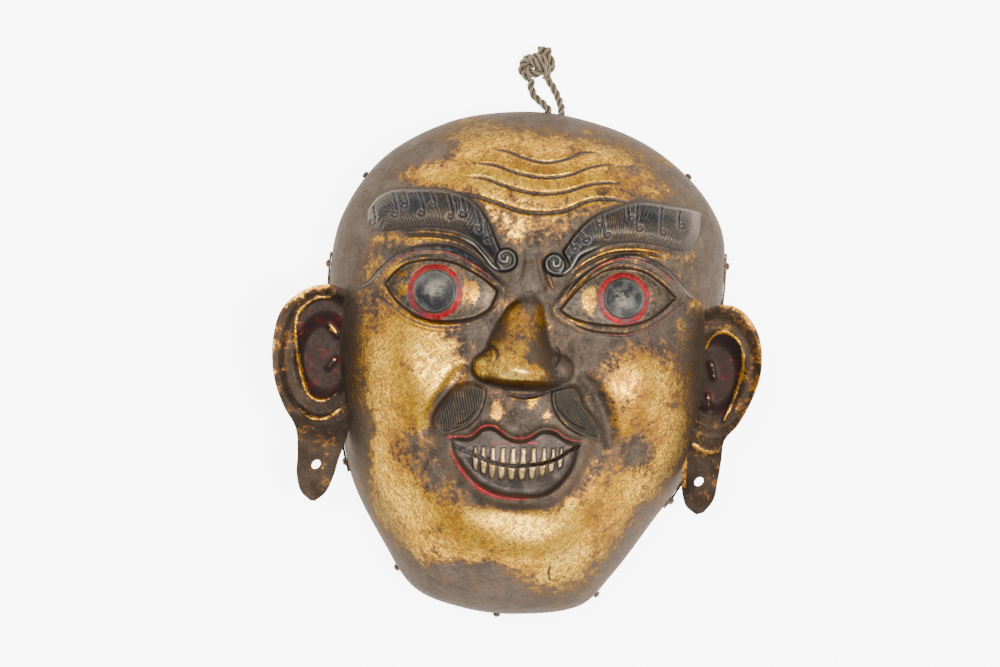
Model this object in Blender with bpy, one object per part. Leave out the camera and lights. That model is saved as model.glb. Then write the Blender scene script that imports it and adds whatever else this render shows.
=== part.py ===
"""Tibetan cham dance mask: a hammered, gilt sheet-copper face that lies on its back rim.

The face looks up along +Z and the top of the head points along +Y. The rim rests on Z = 0.
The face is drawn on a grid that is 415 units high; UNIT is the size of one unit in metres.
"""

import math

import bmesh
import bpy
import numpy as np
from mathutils import Vector
from mathutils.bvhtree import BVHTree

# Driving sizes in metres
MASK_HEIGHT = 0.415
DOME_DEPTH = 0.115
SHEET = 0.0015
TOUCH_GAP = 0.0003
MOUTH_SLIT = 0.0024
FACE_HALF_WIDTH = 0.4 * MASK_HEIGHT

EAR_SHEET = 0.0016
EAR_DISH = 0.0075
EAR_ROLL = 0.0040
LOBE_HOLE_WIDTH = 0.0062
LOBE_HOLE_LENGTH = 0.0084

RIVET_HEAD_RADIUS = 0.0034
RIVET_HEAD_HEIGHT = 0.0026
RIVET_SHOULDER = 0.72
RIVET_SHANK_RADIUS = 0.0011
RIVET_CLENCH_RADIUS = 0.0022
RIVET_CLENCH_HEIGHT = 0.0009
RIVET_LEVEL = 0.0095
HOLE_CLEARANCE = 0.0003
RIVET_SEAT_GAP = 0.0004

STRIP_THICKNESS = 0.0012
STRIP_WIDTH = 0.0120
STRIP_OVERHANG = 0.0080

ROPE_DIAMETER = 0.0060
ROPE_LEVEL = 0.0105
ROPE_HOLE_CLEARANCE = 0.0008

# The ears are trimmed by the face wall, grown by this much below this height
GUARD_GAP = 1.15 * TOUCH_GAP
GUARD_HEIGHT = 0.8 * DOME_DEPTH
RIM_SLAB = 4.0 * SHEET
WALL_STEP = 0.0060

# The drawing grid of the face
DRAWN_HEIGHT = 415.0
UNIT = MASK_HEIGHT / DRAWN_HEIGHT
DEPTH_UNIT = DOME_DEPTH / UNIT
SIDE_POWER = 3.0
CROWN_POWER = 2.0

# Mesh density: cells across and along each hammered sheet, and the triangles left on the face's front
SHELL_CELLS = (104, 120)
SHELL_TRIANGLES = 2800
EAR_CELLS = (9, 20)
CENTRE_DENSITY = 0.7

# Rim outline, seen from the front, clockwise from the crown
RIM = [
    (24, 206), (85, 188), (130, 156), (156, 118), (160, 80), (155, 20), (149, -40), (137, -83),
    (107, -130), (77, -173), (52, -199), (2, -208), (-43, -205), (-85, -190), (-113, -152),
    (-140, -103), (-153, -50), (-161, 10), (-166, 66), (-158, 116), (-126, 165), (-75, 196), (-25, 207),
]

# Broad swellings and hollows: centre x, y, radius x, y, height
SWELLINGS = [
    (0, 150, 85, 50, 7),
    (-93, -16, 40, 42, 15),
    (90, -12, 40, 42, 15),
    (-68, 56, 60, 36, -6),
    (70, 54, 60, 36, -6),
    (0, 72, 17, 22, 3),
    (-62, -112, 38, 34, 7),
    (52, -112, 38, 34, 7),
    (-4, -148, 44, 26, 12),
    (-4, -60, 66, 44, 6),
    (-4, -119, 30, 9, -3),
]

# Eyes: centre x, y, half length, rise above and below the centre, tilt in degrees, pupil x, y, pupil radius
EYES = {
    "left": (-69, 56, 47, 25, 26, -2.5, -75, 53, 16.5),
    "right": (69, 49, 48, 28, 24, 8.5, 73, 52, 15.5),
}
EYEBALL_BULGE = 11
LID_RIDGE = 3.2
LID_DEPTH = 4.5

# Brows: points of the middle line with the half width there, from the temple to the nose
BROWS = {
    "left": [
        (-132, 108, 8), (-118, 113, 14), (-94, 117, 15), (-72, 115, 14.5),
        (-53, 108, 13.5), (-39, 96, 10), (-30, 83, 6),
    ],
    "right": [
        (131, 112, 10), (115, 111, 15), (92, 113, 16), (70, 110, 15.5),
        (50, 101, 12.5), (37, 89, 9), (28, 77, 6),
    ],
}
SPIRALS = {"left": (-21, 83, 8.5), "right": (19, 79, 8.5)}
BROW_HEIGHT = 5.0
BROW_EDGE = 2.4

# Ridges and grooves: points, half width, height
FOREHEAD_GROOVES = [
    [(-41, 166), (-16, 162), (9, 157), (37, 166), (54, 166)],
    [(-54, 155), (-27, 151), (2, 145), (31, 152), (60, 156)],
    [(-62, 143), (-31, 138), (2, 132), (32, 141), (70, 143)],
    [(-74, 130), (-34, 123), (6, 119), (40, 128), (75, 128)],
]
FOLDS = [
    ([(-112, 94), (-86, 98), (-62, 93), (-44, 82), (-32, 70)], 3.0, 2.6),
    ([(118, 88), (86, 93), (60, 90), (42, 78), (30, 66)], 3.0, 2.6),
    ([(-46, -2), (-60, -22), (-74, -48), (-76, -66)], 6.0, -5.0),
    ([(40, -4), (56, -24), (66, -50), (67, -68)], 6.0, -5.0),
    ([(-6, 88), (-8, 72), (-12, 58)], 3.0, 2.5),
    ([(7, 88), (8, 72), (10, 58)], 3.0, 2.5),
]
GROOVE_HALF_WIDTH = 2.6
GROOVE_DEPTH = 1.8

# Nose: rows of y, middle x, half width, height
NOSE = [
    (56, -1, 13, 2), (44, -2, 17, 10), (22, -4, 21, 20), (2, -6, 27, 31), (-10, -6, 30, 34), (-17, -5, 30, 25),
    (-23, -4, 28, 2),
]
NOSTRILS = [(-29, -7, 16, 12, 17), (23, -8, 16, 12, 17)]

# Moustache tufts: points of the middle line with the half width there
TUFTS = [
    [(-36, -20, 5), (-44, -28, 9), (-53, -38, 10), (-61, -49, 7), (-68, -57, 3)],
    [(29, -18, 5), (34, -28, 8), (40, -39, 9), (49, -50, 7), (59, -57, 3)],
]
TUFT_HEIGHT = 4.0

# Mouth: outline of the upper lip, of the lower lip, and the slit between the teeth, from left to right
UPPER_LIP = [
    (-60, -62), (-44, -59), (-30, -50), (-17, -55), (-5, -59), (8, -55), (20, -51), (34, -58), (49, -60),
]
LOWER_LIP = [
    (-60, -62), (-52, -80), (-37, -95), (-18, -105), (2, -107), (20, -104), (34, -93), (44, -79), (49, -60),
]
SLIT = [(-54, -67), (-38, -74), (-22, -79), (-4, -81), (14, -79), (30, -73), (42, -66)]
LIP_RIDGE = 3.4
MOUTH_DEPTH = 6.0
TEETH_SWELL = 3.0

# Ears: the outer edge and the edge at the face, both from top to bottom, the middle of the sheet,
# the dish in it with its half sizes, the hole in the lobe and the drawn height above the rim
EARS = {
    "left": {
        "outer": [
            (-162, 56.5), (-171, 55), (-185, 48), (-198, 34), (-203, 17), (-204, -4), (-201, -24),
            (-194, -42), (-184, -60), (-182, -80), (-182, -99), (-178, -112), (-171, -118.5),
        ],
        "inner": [
            (-157, 56), (-147, 52), (-139, 40), (-136, 10), (-138, -30), (-143, -66),
            (-149, -84), (-153, -99), (-159, -112), (-167, -119),
        ],
        "middle": (-172, -22),
        "dish": (-163, -2, 25, 37),
        "hole": (-167, -89),
        "level": 55.0,
    },
    "right": {
        "outer": [
            (154, 53), (162, 52.5), (173, 46), (182, 34), (187, 17), (186, -4), (180, -24),
            (171, -42), (161, -57), (160, -71), (158, -88), (155, -105), (148, -115),
        ],
        "inner": [
            (149, 52), (138, 47), (129, 36), (124, 10), (124, -30), (127, -60),
            (129, -81), (130, -100), (134, -111), (142, -117),
        ],
        "middle": (153, -22),
        "dish": (152, -2, 24, 35),
        "hole": (143, -90),
        "level": 56.0,
    },
}
EAR_SLOPE = 0.10
EAR_FLARE = 0.16

# Rivets: compass angle of each round the rim in degrees, counted from +X towards +Y
RIVETS = [51.5, 28.5, -3.0, -41.5, -71.0, -94.5, -120.0, -149.0, 178.5, 155.5, 133.0]
STRIPS = {"left": (155.5, 211.0), "right": (-41.5, 28.5)}

# Rope loop: compass angles of the two holes in degrees, then the route on either side of them.
# Outside: x, y on the drawing and the height above the ground in metres. Inside: x, y, z drawn.
ROPE_HOLES = (87.6, 84.6)
ROPE_LEFT = [(-6.4, 235.4, 0.0015), (-6.2, 229.0, 0.0005), (-3.6, 222.0, 0.0010), (4.8, 214.2, 0.0050)]
ROPE_RIGHT = [(18.8, 214.8, 0.0050), (16.4, 221.0, 0.0010), (12.4, 228.4, 0.0005), (6.6, 236.6, 0.0015)]
ROPE_BIGHT = [
    (7.0, 193, 7.2), (1.0, 183, 4.1), (2.0, 171, 3.4), (13.5, 165, 3.4),
    (24.5, 170, 3.4), (26.0, 182, 4.1), (20.5, 193, 7.2),
]
ROPE_INSIDE = 0.8 * ROPE_DIAMETER
ROPE_OUTSIDE = 0.4 * ROPE_DIAMETER
KNOT_CENTRE = (-1.6, 249.2)
KNOT_HALF_SIZE = (0.0148, 0.0135, 0.0095)
KNOT_LUMP = 0.06


def smooth_step(low, high, value):
    share = np.clip((value - low) / (high - low), 0.0, 1.0)
    return share * share * (3.0 - 2.0 * share)


def curve_through(points, count, closed=False):
    """Points of a smooth curve through the given points, with any number of columns."""
    points = np.array(points, dtype=float)
    total = len(points)
    steps = np.linalg.norm(np.diff(points[:, :2], axis=0, append=points[:1, :2]), axis=1)
    knots = np.concatenate([[0.0], np.cumsum(steps)])
    if closed:
        before, after = np.roll(points, 1, axis=0), np.roll(points, -1, axis=0)
        span_before, span_after = np.roll(steps, 1), steps
        slopes = (after - before) / (span_before + span_after)[:, None]
        ends = np.vstack([points, points[:1]])
        slopes = np.vstack([slopes, slopes[:1]])
    else:
        knots = knots[:total]
        ends = points
        slopes = np.gradient(points, knots, axis=0)
    where = np.linspace(0.0, knots[-1], count, endpoint=not closed)
    index = np.clip(np.searchsorted(knots, where, side="right") - 1, 0, len(knots) - 2)
    span = (knots[index + 1] - knots[index])[:, None]
    t = ((where - knots[index])[:, None]) / span
    start, end = ends[index], ends[index + 1]
    leave, arrive = slopes[index] * span, slopes[index + 1] * span
    return (
        (2 * t**3 - 3 * t**2 + 1) * start + (t**3 - 2 * t**2 + t) * leave
        + (3 * t**2 - 2 * t**3) * end + (t**3 - t**2) * arrive
    )


def distance_to(x, y, line):
    """Distance to a drawn line, share of the way along it and which side of it each point is on."""
    best = np.full(x.shape, 1e9)
    along = np.zeros(x.shape)
    side = np.zeros(x.shape)
    last = len(line) - 2
    for i in range(last + 1):
        ax, ay = line[i, 0], line[i, 1]
        bx, by = line[i + 1, 0] - ax, line[i + 1, 1] - ay
        share = np.clip(((x - ax) * bx + (y - ay) * by) / (bx * bx + by * by), 0.0, 1.0)
        dx, dy = x - ax - share * bx, y - ay - share * by
        distance = np.hypot(dx, dy)
        closer = distance < best
        best = np.where(closer, distance, best)
        along = np.where(closer, (i + share) / (last + 1), along)
        side = np.where(closer, np.sign(bx * dy - by * dx), side)
    return best, along, side


def ridge(x, y, points, half_width, height):
    """A raised or sunk line with tapered ends."""
    distance, along, _ = distance_to(x, y, curve_through(points, 24))
    taper = smooth_step(0.0, 0.16, along) * smooth_step(0.0, 0.16, 1.0 - along)
    return height * taper * np.exp(-(distance / half_width) ** 2)


def band(x, y, points, edge):
    """One inside a band of changing half width and nought outside it, with a soft edge."""
    line = curve_through(points, 28)
    distance, along, _ = distance_to(x, y, line)
    half_width = np.interp(along, np.linspace(0.0, 1.0, len(line)), line[:, 2])
    return smooth_step(-edge, edge, half_width - distance)


def rim_radius(angle):
    """Distance from the middle of the face to the rim in each direction."""
    drawn = curve_through(RIM, 360, closed=True)
    angles = np.arctan2(drawn[:, 1], drawn[:, 0])
    order = np.argsort(angles)
    return np.interp(angle, angles[order], np.hypot(drawn[:, 0], drawn[:, 1])[order], period=2 * math.pi)


def dome(share):
    """Height of the plain dome at a share of the way from the middle to the rim."""
    return DEPTH_UNIT * np.clip(1.0 - share**SIDE_POWER, 0.0, 1.0) ** (1.0 / CROWN_POWER)


def swellings(x, y):
    total = np.zeros(x.shape)
    for cx, cy, rx, ry, height in SWELLINGS:
        total += height * np.exp(-((x - cx) / rx) ** 2 - ((y - cy) / ry) ** 2)
    return total


def eye(x, y, which):
    """The lids, the sunk almond between them and the bulging eyeball with its raised pupil."""
    cx, cy, half, rise, drop, tilt, px, py, pupil = EYES[which]
    turn = math.radians(tilt)
    u = ((x - cx) * math.cos(turn) + (y - cy) * math.sin(turn)) / half
    v = -(x - cx) * math.sin(turn) + (y - cy) * math.cos(turn)
    arch = np.clip(1.0 - u * u, 0.0, 1.0)
    upper = rise * arch**0.85 - v
    lower = drop * arch**0.85 + v
    inside = np.minimum(upper, lower)
    beyond = np.maximum(np.abs(u) - 1.0, 0.0) * half
    inside = inside - beyond
    sunk = -LID_DEPTH * smooth_step(-1.0, 3.5, inside)
    lids = LID_RIDGE * np.exp(-((inside + 3.5) / 3.6) ** 2) * smooth_step(0.0, 16.0, 14.0 - beyond)
    reach = np.hypot((x - cx) / half, v / (0.5 * (rise + drop)))
    ball = EYEBALL_BULGE * np.clip(1.0 - reach**2, 0.0, 1.0)
    disc = 1.6 * smooth_step(-1.5, 1.5, pupil - np.hypot(x - px, y - py))
    return sunk + lids + ball + disc


def brow(x, y, which):
    cx, cy, radius = SPIRALS[which]
    plate = band(x, y, BROWS[which], BROW_EDGE)
    boss = smooth_step(-BROW_EDGE, BROW_EDGE, radius - np.hypot(x - cx, y - cy))
    return BROW_HEIGHT * np.maximum(plate, boss)


def nose(x, y):
    rows = np.array(NOSE, dtype=float)[::-1]
    middle = np.interp(y, rows[:, 0], rows[:, 1])
    half = np.interp(y, rows[:, 0], rows[:, 2])
    height = np.interp(y, rows[:, 0], rows[:, 3], left=0.0, right=0.0)
    across = np.clip(1.0 - ((x - middle) / half) ** 2, 0.0, 1.0)
    bridge = height * across**0.9
    wings = np.zeros(x.shape)
    for cx, cy, rx, ry, rise in NOSTRILS:
        reach = ((x - cx) / rx) ** 2 + ((y - cy) / ry) ** 2
        wings = np.maximum(wings, rise * np.clip(1.0 - reach, 0.0, 1.0) ** 0.75)
    return np.maximum(bridge, wings)


def mouth(x, y):
    """Lips round a sunk opening in which the rows of teeth swell forward."""
    upper = curve_through(UPPER_LIP, 48)
    lower = curve_through(LOWER_LIP, 48)
    top = np.interp(x, upper[:, 0], upper[:, 1])
    bottom = np.interp(x, lower[:, 0], lower[:, 1])
    between = (y < top) & (y > bottom) & (x > upper[0, 0]) & (x < upper[-1, 0])
    to_upper, _, _ = distance_to(x, y, upper)
    to_lower, _, _ = distance_to(x, y, lower)
    edge = np.minimum(to_upper, to_lower)
    inside = np.where(between, edge, -edge)
    upper_lip = LIP_RIDGE * np.exp(-((to_upper - 0.5) / 3.2) ** 2)
    lower_lip = 1.4 * LIP_RIDGE * np.exp(-((to_lower - 1.5) / 5.0) ** 2)
    opening = smooth_step(0.0, 7.0, inside)
    teeth, _, _ = distance_to(x, y, curve_through(SLIT, 24))
    swell = TEETH_SWELL * np.exp(-(teeth / 13.0) ** 2) * opening
    return np.maximum(upper_lip, lower_lip) - MOUTH_DEPTH * opening + swell


def carving(x, y, share):
    """Everything that stands on the plain dome, fading out towards the side wall."""
    total = swellings(x, y)
    for which in EYES:
        total += eye(x, y, which)
        total += brow(x, y, which)
    for points in FOREHEAD_GROOVES:
        total += ridge(x, y, points, GROOVE_HALF_WIDTH, -GROOVE_DEPTH)
    for points, half_width, height in FOLDS:
        total += ridge(x, y, points, half_width, height)
    for points in TUFTS:
        total += TUFT_HEIGHT * band(x, y, points, 2.0)
    total += nose(x, y) + mouth(x, y)
    return total * (1.0 - smooth_step(0.86, 0.985, share))


def spread(values):
    """Bring the lines of the grid closer together in the middle of the face."""
    return CENTRE_DENSITY * values + (1.0 - CENTRE_DENSITY) * values**3


def disc_grid(cells):
    """Points of a square grid pressed into a round disc: distance from its middle and direction."""
    across = spread(np.linspace(-1.0, 1.0, cells[0] + 1))
    along = spread(np.linspace(-1.0, 1.0, cells[1] + 1))
    u, v = np.meshgrid(across, along)
    p = u * np.sqrt(1.0 - v * v / 2.0)
    q = v * np.sqrt(1.0 - u * u / 2.0)
    return np.hypot(p, q), np.arctan2(q, p)


def shell_sheet():
    """The outside of the face as a grid of points in metres; its border reaches just below the rim."""
    share_along_sheet, angle = disc_grid(SHELL_CELLS)
    radius = rim_radius(angle)
    table = np.linspace(0.0, 1.0, 400) ** 0.5
    mean_radius = float(np.mean(rim_radius(np.linspace(-math.pi, math.pi, 72))))
    path = np.hypot(np.diff(table) * mean_radius, np.diff(dome(table)))
    length = np.concatenate([[0.0], np.cumsum(path)])
    share = np.interp(share_along_sheet, length / length[-1], table)
    x, y = share * radius * np.cos(angle), share * radius * np.sin(angle)
    z = dome(share) + carving(x, y, share)
    border = share_along_sheet > 1.0 - 1e-6
    sheet = np.stack([x, y, z], axis=2) * UNIT
    sheet[:, :, 2] = np.where(border, -SHEET, sheet[:, :, 2])
    return sheet


def grid_mesh(name, points):
    """An open sheet of quads through a grid of points, facing up."""
    rows, columns = points.shape[:2]
    index = np.arange(rows * columns).reshape(rows, columns)
    corners = [index[:-1, :-1], index[:-1, 1:], index[1:, 1:], index[1:, :-1]]
    faces = np.stack(corners, axis=2).reshape(-1, 4)
    mesh = bpy.data.meshes.new(name)
    mesh.from_pydata(points.reshape(-1, 3).tolist(), [], faces.tolist())
    return mesh


def thinned_sheet(name, points, triangles):
    """The sheet with its triangles gathered where it bends most."""
    mesh = grid_mesh(name + "_full", points)
    full = bpy.data.objects.new(name + "_full", mesh)
    bpy.context.collection.objects.link(full)
    thin = full.modifiers.new("thin", "DECIMATE")
    thin.ratio = triangles / (2.0 * len(mesh.polygons))
    graph = bpy.context.evaluated_depsgraph_get()
    result = bpy.data.meshes.new_from_object(full.evaluated_get(graph))
    result.name = name
    bpy.data.objects.remove(full, do_unlink=True)
    return result


def sheet_object(name, mesh, thickness, finish):
    """A body of sheet metal: the given surface is its outside."""
    mesh.materials.append(finish)
    mesh.shade_smooth()
    thing = bpy.data.objects.new(name, mesh)
    bpy.context.collection.objects.link(thing)
    solid = thing.modifiers.new("sheet", "SOLIDIFY")
    solid.thickness = thickness
    solid.offset = -1.0
    return thing


def material(name, colour, roughness, metallic):
    finish = bpy.data.materials.new(name)
    finish.use_nodes = True
    shader = finish.node_tree.nodes["Principled BSDF"]
    shader.inputs["Base Color"].default_value = (*colour, 1.0)
    shader.inputs["Roughness"].default_value = roughness
    shader.inputs["Metallic"].default_value = metallic
    return finish


def new_object(name, body, finish):
    mesh = bpy.data.meshes.new(name)
    bmesh.ops.recalc_face_normals(body, faces=body.faces)
    body.to_mesh(mesh)
    body.free()
    mesh.shade_smooth()
    mesh.set_sharp_from_angle(angle=math.radians(40))
    mesh.materials.append(finish)
    thing = bpy.data.objects.new(name, mesh)
    bpy.context.collection.objects.link(thing)
    return thing


def cut(target, cutter):
    cutter.hide_render = True
    cutter.display_type = "WIRE"
    modifier = target.modifiers.new("cut_" + cutter.name, "BOOLEAN")
    modifier.operation = "DIFFERENCE"
    modifier.solver = "EXACT"
    modifier.object = cutter


def wall_point(tree, angle, level):
    """Where the outside of the face wall lies in a direction, at a height above the rim."""
    direction = Vector((math.cos(angle), math.sin(angle), 0.0))
    start = direction * MASK_HEIGHT + Vector((0.0, 0.0, level))
    place, _, _, _ = tree.ray_cast(start, -direction)
    return place


def wall_frame(tree, angle, level):
    """The wall point, the way out of the wall there and the way along it."""
    reach = WALL_STEP / (MASK_HEIGHT / 2.0)
    before = wall_point(tree, angle - reach, level)
    after = wall_point(tree, angle + reach, level)
    along = (after - before).normalized()
    outward = Vector((along.y, -along.x, 0.0)).normalized()
    return wall_point(tree, angle, level), outward, along


def turned_body(profile, sides, origin, axis):
    """A solid of revolution; the profile gives radius and distance along the axis."""
    body = bmesh.new()
    across = axis.orthogonal().normalized()
    other = axis.cross(across).normalized()
    rings = []
    for radius, distance in profile:
        middle = origin + axis * distance
        if radius == 0.0:
            rings.append([body.verts.new(middle)])
            continue
        ring = []
        for k in range(sides):
            turn = 2.0 * math.pi * k / sides
            spoke = across * math.cos(turn) + other * math.sin(turn)
            ring.append(body.verts.new(middle + spoke * radius))
        rings.append(ring)
    for first, second in zip(rings, rings[1:]):
        for k in range(sides):
            m = (k + 1) % sides
            corners = [
                first[k % len(first)], first[m % len(first)], second[m % len(second)], second[k % len(second)],
            ]
            body.faces.new(list(dict.fromkeys(corners)))
    return body


def build_shell(mesh, finish):
    """The face, cut off flat at its rim."""
    shell = sheet_object("face_shell", mesh, SHEET, finish)
    body = bmesh.new()
    bmesh.ops.create_cube(body, size=1.0)
    bmesh.ops.scale(body, vec=(2.0 * MASK_HEIGHT, 2.0 * MASK_HEIGHT, RIM_SLAB), verts=body.verts)
    bmesh.ops.translate(body, vec=(0.0, 0.0, -RIM_SLAB / 2.0), verts=body.verts)
    cut(shell, new_object("rim_cutter", body, finish))
    return shell


def build_guard(mesh, finish):
    """The space that the face fills, a hair larger than the face, for cutting what meets its wall."""
    body = bmesh.new()
    body.from_mesh(mesh)
    body.normal_update()
    for corner in body.verts:
        if corner.co.z < GUARD_HEIGHT:
            corner.co += corner.normal * GUARD_GAP
    border = [edge for edge in body.edges if edge.is_boundary]
    below = body.verts.new((0.0, 0.0, -2.0 * SHEET))
    for edge in border:
        body.faces.new((edge.verts[0], edge.verts[1], below))
    guard = new_object("wall_guard", body, finish)
    guard.hide_render = True
    guard.display_type = "WIRE"
    return guard


def mesh_tree(mesh):
    body = bmesh.new()
    body.from_mesh(mesh)
    tree = BVHTree.FromBMesh(body)
    body.free()
    return tree


def build_mouth_slit(shell):
    """The narrow opening between the rows of teeth."""
    line = curve_through(SLIT, 17)
    body = bmesh.new()
    low, high = 0.0, DOME_DEPTH * 2.0
    half = MOUTH_SLIT / 2.0
    rows = []
    ahead = np.gradient(line[:, :2], axis=0)
    for place, step in zip(line[:, :2] * UNIT, ahead):
        side = np.array([-step[1], step[0]]) / np.hypot(*step) * half
        corners = [(place + side, low), (place + side, high), (place - side, high), (place - side, low)]
        rows.append([body.verts.new((p[0], p[1], z)) for p, z in corners])
    for first, second in zip(rows, rows[1:]):
        for k in range(4):
            body.faces.new([first[k], first[(k + 1) % 4], second[(k + 1) % 4], second[k]])
    body.faces.new(rows[0])
    body.faces.new(rows[-1][::-1])
    cutter = new_object("slit_cutter", body, shell.data.materials[0])
    cut(shell, cutter)


def ear_height(x, y, which):
    """Height of an ear sheet: a rolled outer edge, a dish inside it and a flat tongue below."""
    ear = EARS[which]
    mx, my = ear["middle"]
    outward = -1.0 if which == "left" else 1.0
    plane = ear["level"] + EAR_SLOPE * (y - my) + EAR_FLARE * outward * (x - mx)
    cx, cy, rx, ry = ear["dish"]
    reach = np.hypot((x - cx) / rx, (y - cy) / ry)
    dish = -(EAR_DISH / UNIT) * (1.0 - smooth_step(0.62, 1.05, reach))
    roll = (EAR_ROLL / UNIT) * smooth_step(1.2, 1.5, reach) * smooth_step(-75.0, -45.0, y)
    return plane + dish + roll


def ear_sheet(which):
    columns, rows = EAR_CELLS
    outer = curve_through(EARS[which]["outer"], rows + 1)
    inner = curve_through(EARS[which]["inner"], rows + 1)
    left, right = (outer, inner) if which == "left" else (inner, outer)
    share = np.linspace(0.0, 1.0, columns + 1)[None, :, None]
    plan = (left[:, None, :] * (1.0 - share) + right[:, None, :] * share)[::-1]
    x, y = plan[:, :, 0], plan[:, :, 1]
    return np.stack([x, y, ear_height(x, y, which)], axis=2) * UNIT


def build_ear(which, guard, finish):
    name = "ear_" + which
    ear = sheet_object(name, grid_mesh(name, ear_sheet(which)), EAR_SHEET, finish)
    x, y = EARS[which]["hole"]
    level = float(ear_height(np.array(float(x)), np.array(float(y)), which)) * UNIT
    radius, reach = LOBE_HOLE_WIDTH / 2, DOME_DEPTH / 4
    profile = [(0.0, -reach), (radius, -reach), (radius, reach), (0.0, reach)]
    body = turned_body(profile, 12, Vector((0.0, 0.0, 0.0)), Vector((0.0, 0.0, 1.0)))
    bmesh.ops.scale(body, vec=(1.0, LOBE_HOLE_LENGTH / LOBE_HOLE_WIDTH, 1.0), verts=body.verts)
    bmesh.ops.translate(body, vec=(x * UNIT, y * UNIT, level), verts=body.verts)
    cut(ear, new_object("lobe_cutter_" + which, body, finish))
    cut(ear, guard)


def on_strip(degrees):
    turns = (degrees, degrees + 360.0)
    return any(low <= turn <= high for low, high in STRIPS.values() for turn in turns)


def build_rivet(number, degrees, tree, shell, strips, finish):
    """A round-headed rivet: the head outside, the shank through the sheet, the clenched end inside."""
    place, outward, _ = wall_frame(tree, math.radians(degrees), RIVET_LEVEL)
    seat = RIVET_SEAT_GAP + (STRIP_THICKNESS + TOUCH_GAP if on_strip(degrees) else 0.0)
    inside = -SHEET - 2.0 * RIVET_SEAT_GAP
    profile = [
        (0.0, inside - RIVET_CLENCH_HEIGHT),
        (RIVET_CLENCH_RADIUS, inside - RIVET_CLENCH_HEIGHT),
        (RIVET_CLENCH_RADIUS, inside),
        (RIVET_SHANK_RADIUS, inside),
        (RIVET_SHANK_RADIUS, seat),
        (RIVET_HEAD_RADIUS, seat),
        (RIVET_HEAD_RADIUS * RIVET_SHOULDER, seat + RIVET_HEAD_HEIGHT * RIVET_SHOULDER),
        (0.0, seat + RIVET_HEAD_HEIGHT),
    ]
    new_object(f"rivet_{number:02d}", turned_body(profile, 8, place, outward), finish)
    reach = RIVET_HEAD_RADIUS * 3.0
    radius = (RIVET_SHANK_RADIUS + HOLE_CLEARANCE) / math.cos(math.pi / 8)
    hole = turned_body([(0.0, -reach), (radius, -reach), (radius, reach), (0.0, reach)], 8, place, outward)
    cutter = new_object(f"rivet_cutter_{number:02d}", hole, finish)
    cut(shell, cutter)
    if on_strip(degrees):
        nearest = min(strips, key=lambda strip: (strip["centre"] - place).length)
        cut(nearest["object"], cutter)


def build_strip(which, tree, guard, finish):
    """A narrow strip of sheet that lies along the side wall, just above the rim."""
    low, high = STRIPS[which]
    margin = STRIP_OVERHANG / FACE_HALF_WIDTH
    turns = np.linspace(math.radians(low) - margin, math.radians(high) + margin, 19)
    body = bmesh.new()
    rows = []
    for turn in turns:
        place, outward, _ = wall_frame(tree, turn, RIVET_LEVEL)
        near, far = place - outward * SHEET, place + outward * (TOUCH_GAP + STRIP_THICKNESS)
        low_level, high_level = Vector((0.0, 0.0, -STRIP_WIDTH / 2)), Vector((0.0, 0.0, STRIP_WIDTH / 2))
        corners = (near + low_level, far + low_level, far + high_level, near + high_level)
        rows.append([body.verts.new(corner) for corner in corners])
    for first, second in zip(rows, rows[1:]):
        for k in range(4):
            body.faces.new([first[k], first[(k + 1) % 4], second[(k + 1) % 4], second[k]])
    body.faces.new(rows[0])
    body.faces.new(rows[-1][::-1])
    strip = new_object("side_strip_" + which, body, finish)
    cut(strip, guard)
    centre = sum((corner.co for corner in strip.data.vertices), Vector()) / len(strip.data.vertices)
    return {"object": strip, "centre": centre}


def rope_route(tree):
    """Points of the tied loop: out through one hole from the knot, a bight inside, back to the knot."""
    ground = ROPE_DIAMETER / 2.0 + TOUCH_GAP
    (left, left_out, _), (right, right_out, _) = [
        wall_frame(tree, math.radians(turn), ROPE_LEVEL) for turn in ROPE_HOLES
    ]
    inside = [Vector((x, y, z)) * UNIT for x, y, z in ROPE_BIGHT]
    left_strand = [Vector((x * UNIT, y * UNIT, ground + rise)) for x, y, rise in ROPE_LEFT]
    right_strand = [Vector((x * UNIT, y * UNIT, ground + rise)) for x, y, rise in ROPE_RIGHT]
    through_left = [left + left_out * ROPE_OUTSIDE, left - left_out * ROPE_INSIDE]
    through_right = [right - right_out * ROPE_INSIDE, right + right_out * ROPE_OUTSIDE]
    return left_strand + through_left + inside + through_right + right_strand


def build_rope(tree, shell, finish):
    route = rope_route(tree)
    length = sum((b - a).length for a, b in zip(route, route[1:]))
    points = curve_through([tuple(point) for point in route], int(length / ROPE_DIAMETER) + 2)
    curve = bpy.data.curves.new("hanging_rope", "CURVE")
    curve.dimensions = "3D"
    curve.bevel_depth = ROPE_DIAMETER / 2.0
    curve.bevel_resolution = 2
    curve.use_fill_caps = True
    spline = curve.splines.new("POLY")
    spline.points.add(len(points) - 1)
    for place, point in zip(points, spline.points):
        point.co = (*place, 1.0)
    curve.materials.append(finish)
    rope = bpy.data.objects.new("hanging_rope", curve)
    bpy.context.collection.objects.link(rope)
    for number, turn in enumerate(ROPE_HOLES):
        place, outward, _ = wall_frame(tree, math.radians(turn), ROPE_LEVEL)
        reach = ROPE_DIAMETER
        radius = ROPE_DIAMETER / 2.0 + ROPE_HOLE_CLEARANCE
        hole = turned_body([(0.0, -reach), (radius, -reach), (radius, reach), (0.0, reach)], 12, place, outward)
        cut(shell, new_object(f"rope_cutter_{number}", hole, finish))


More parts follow.
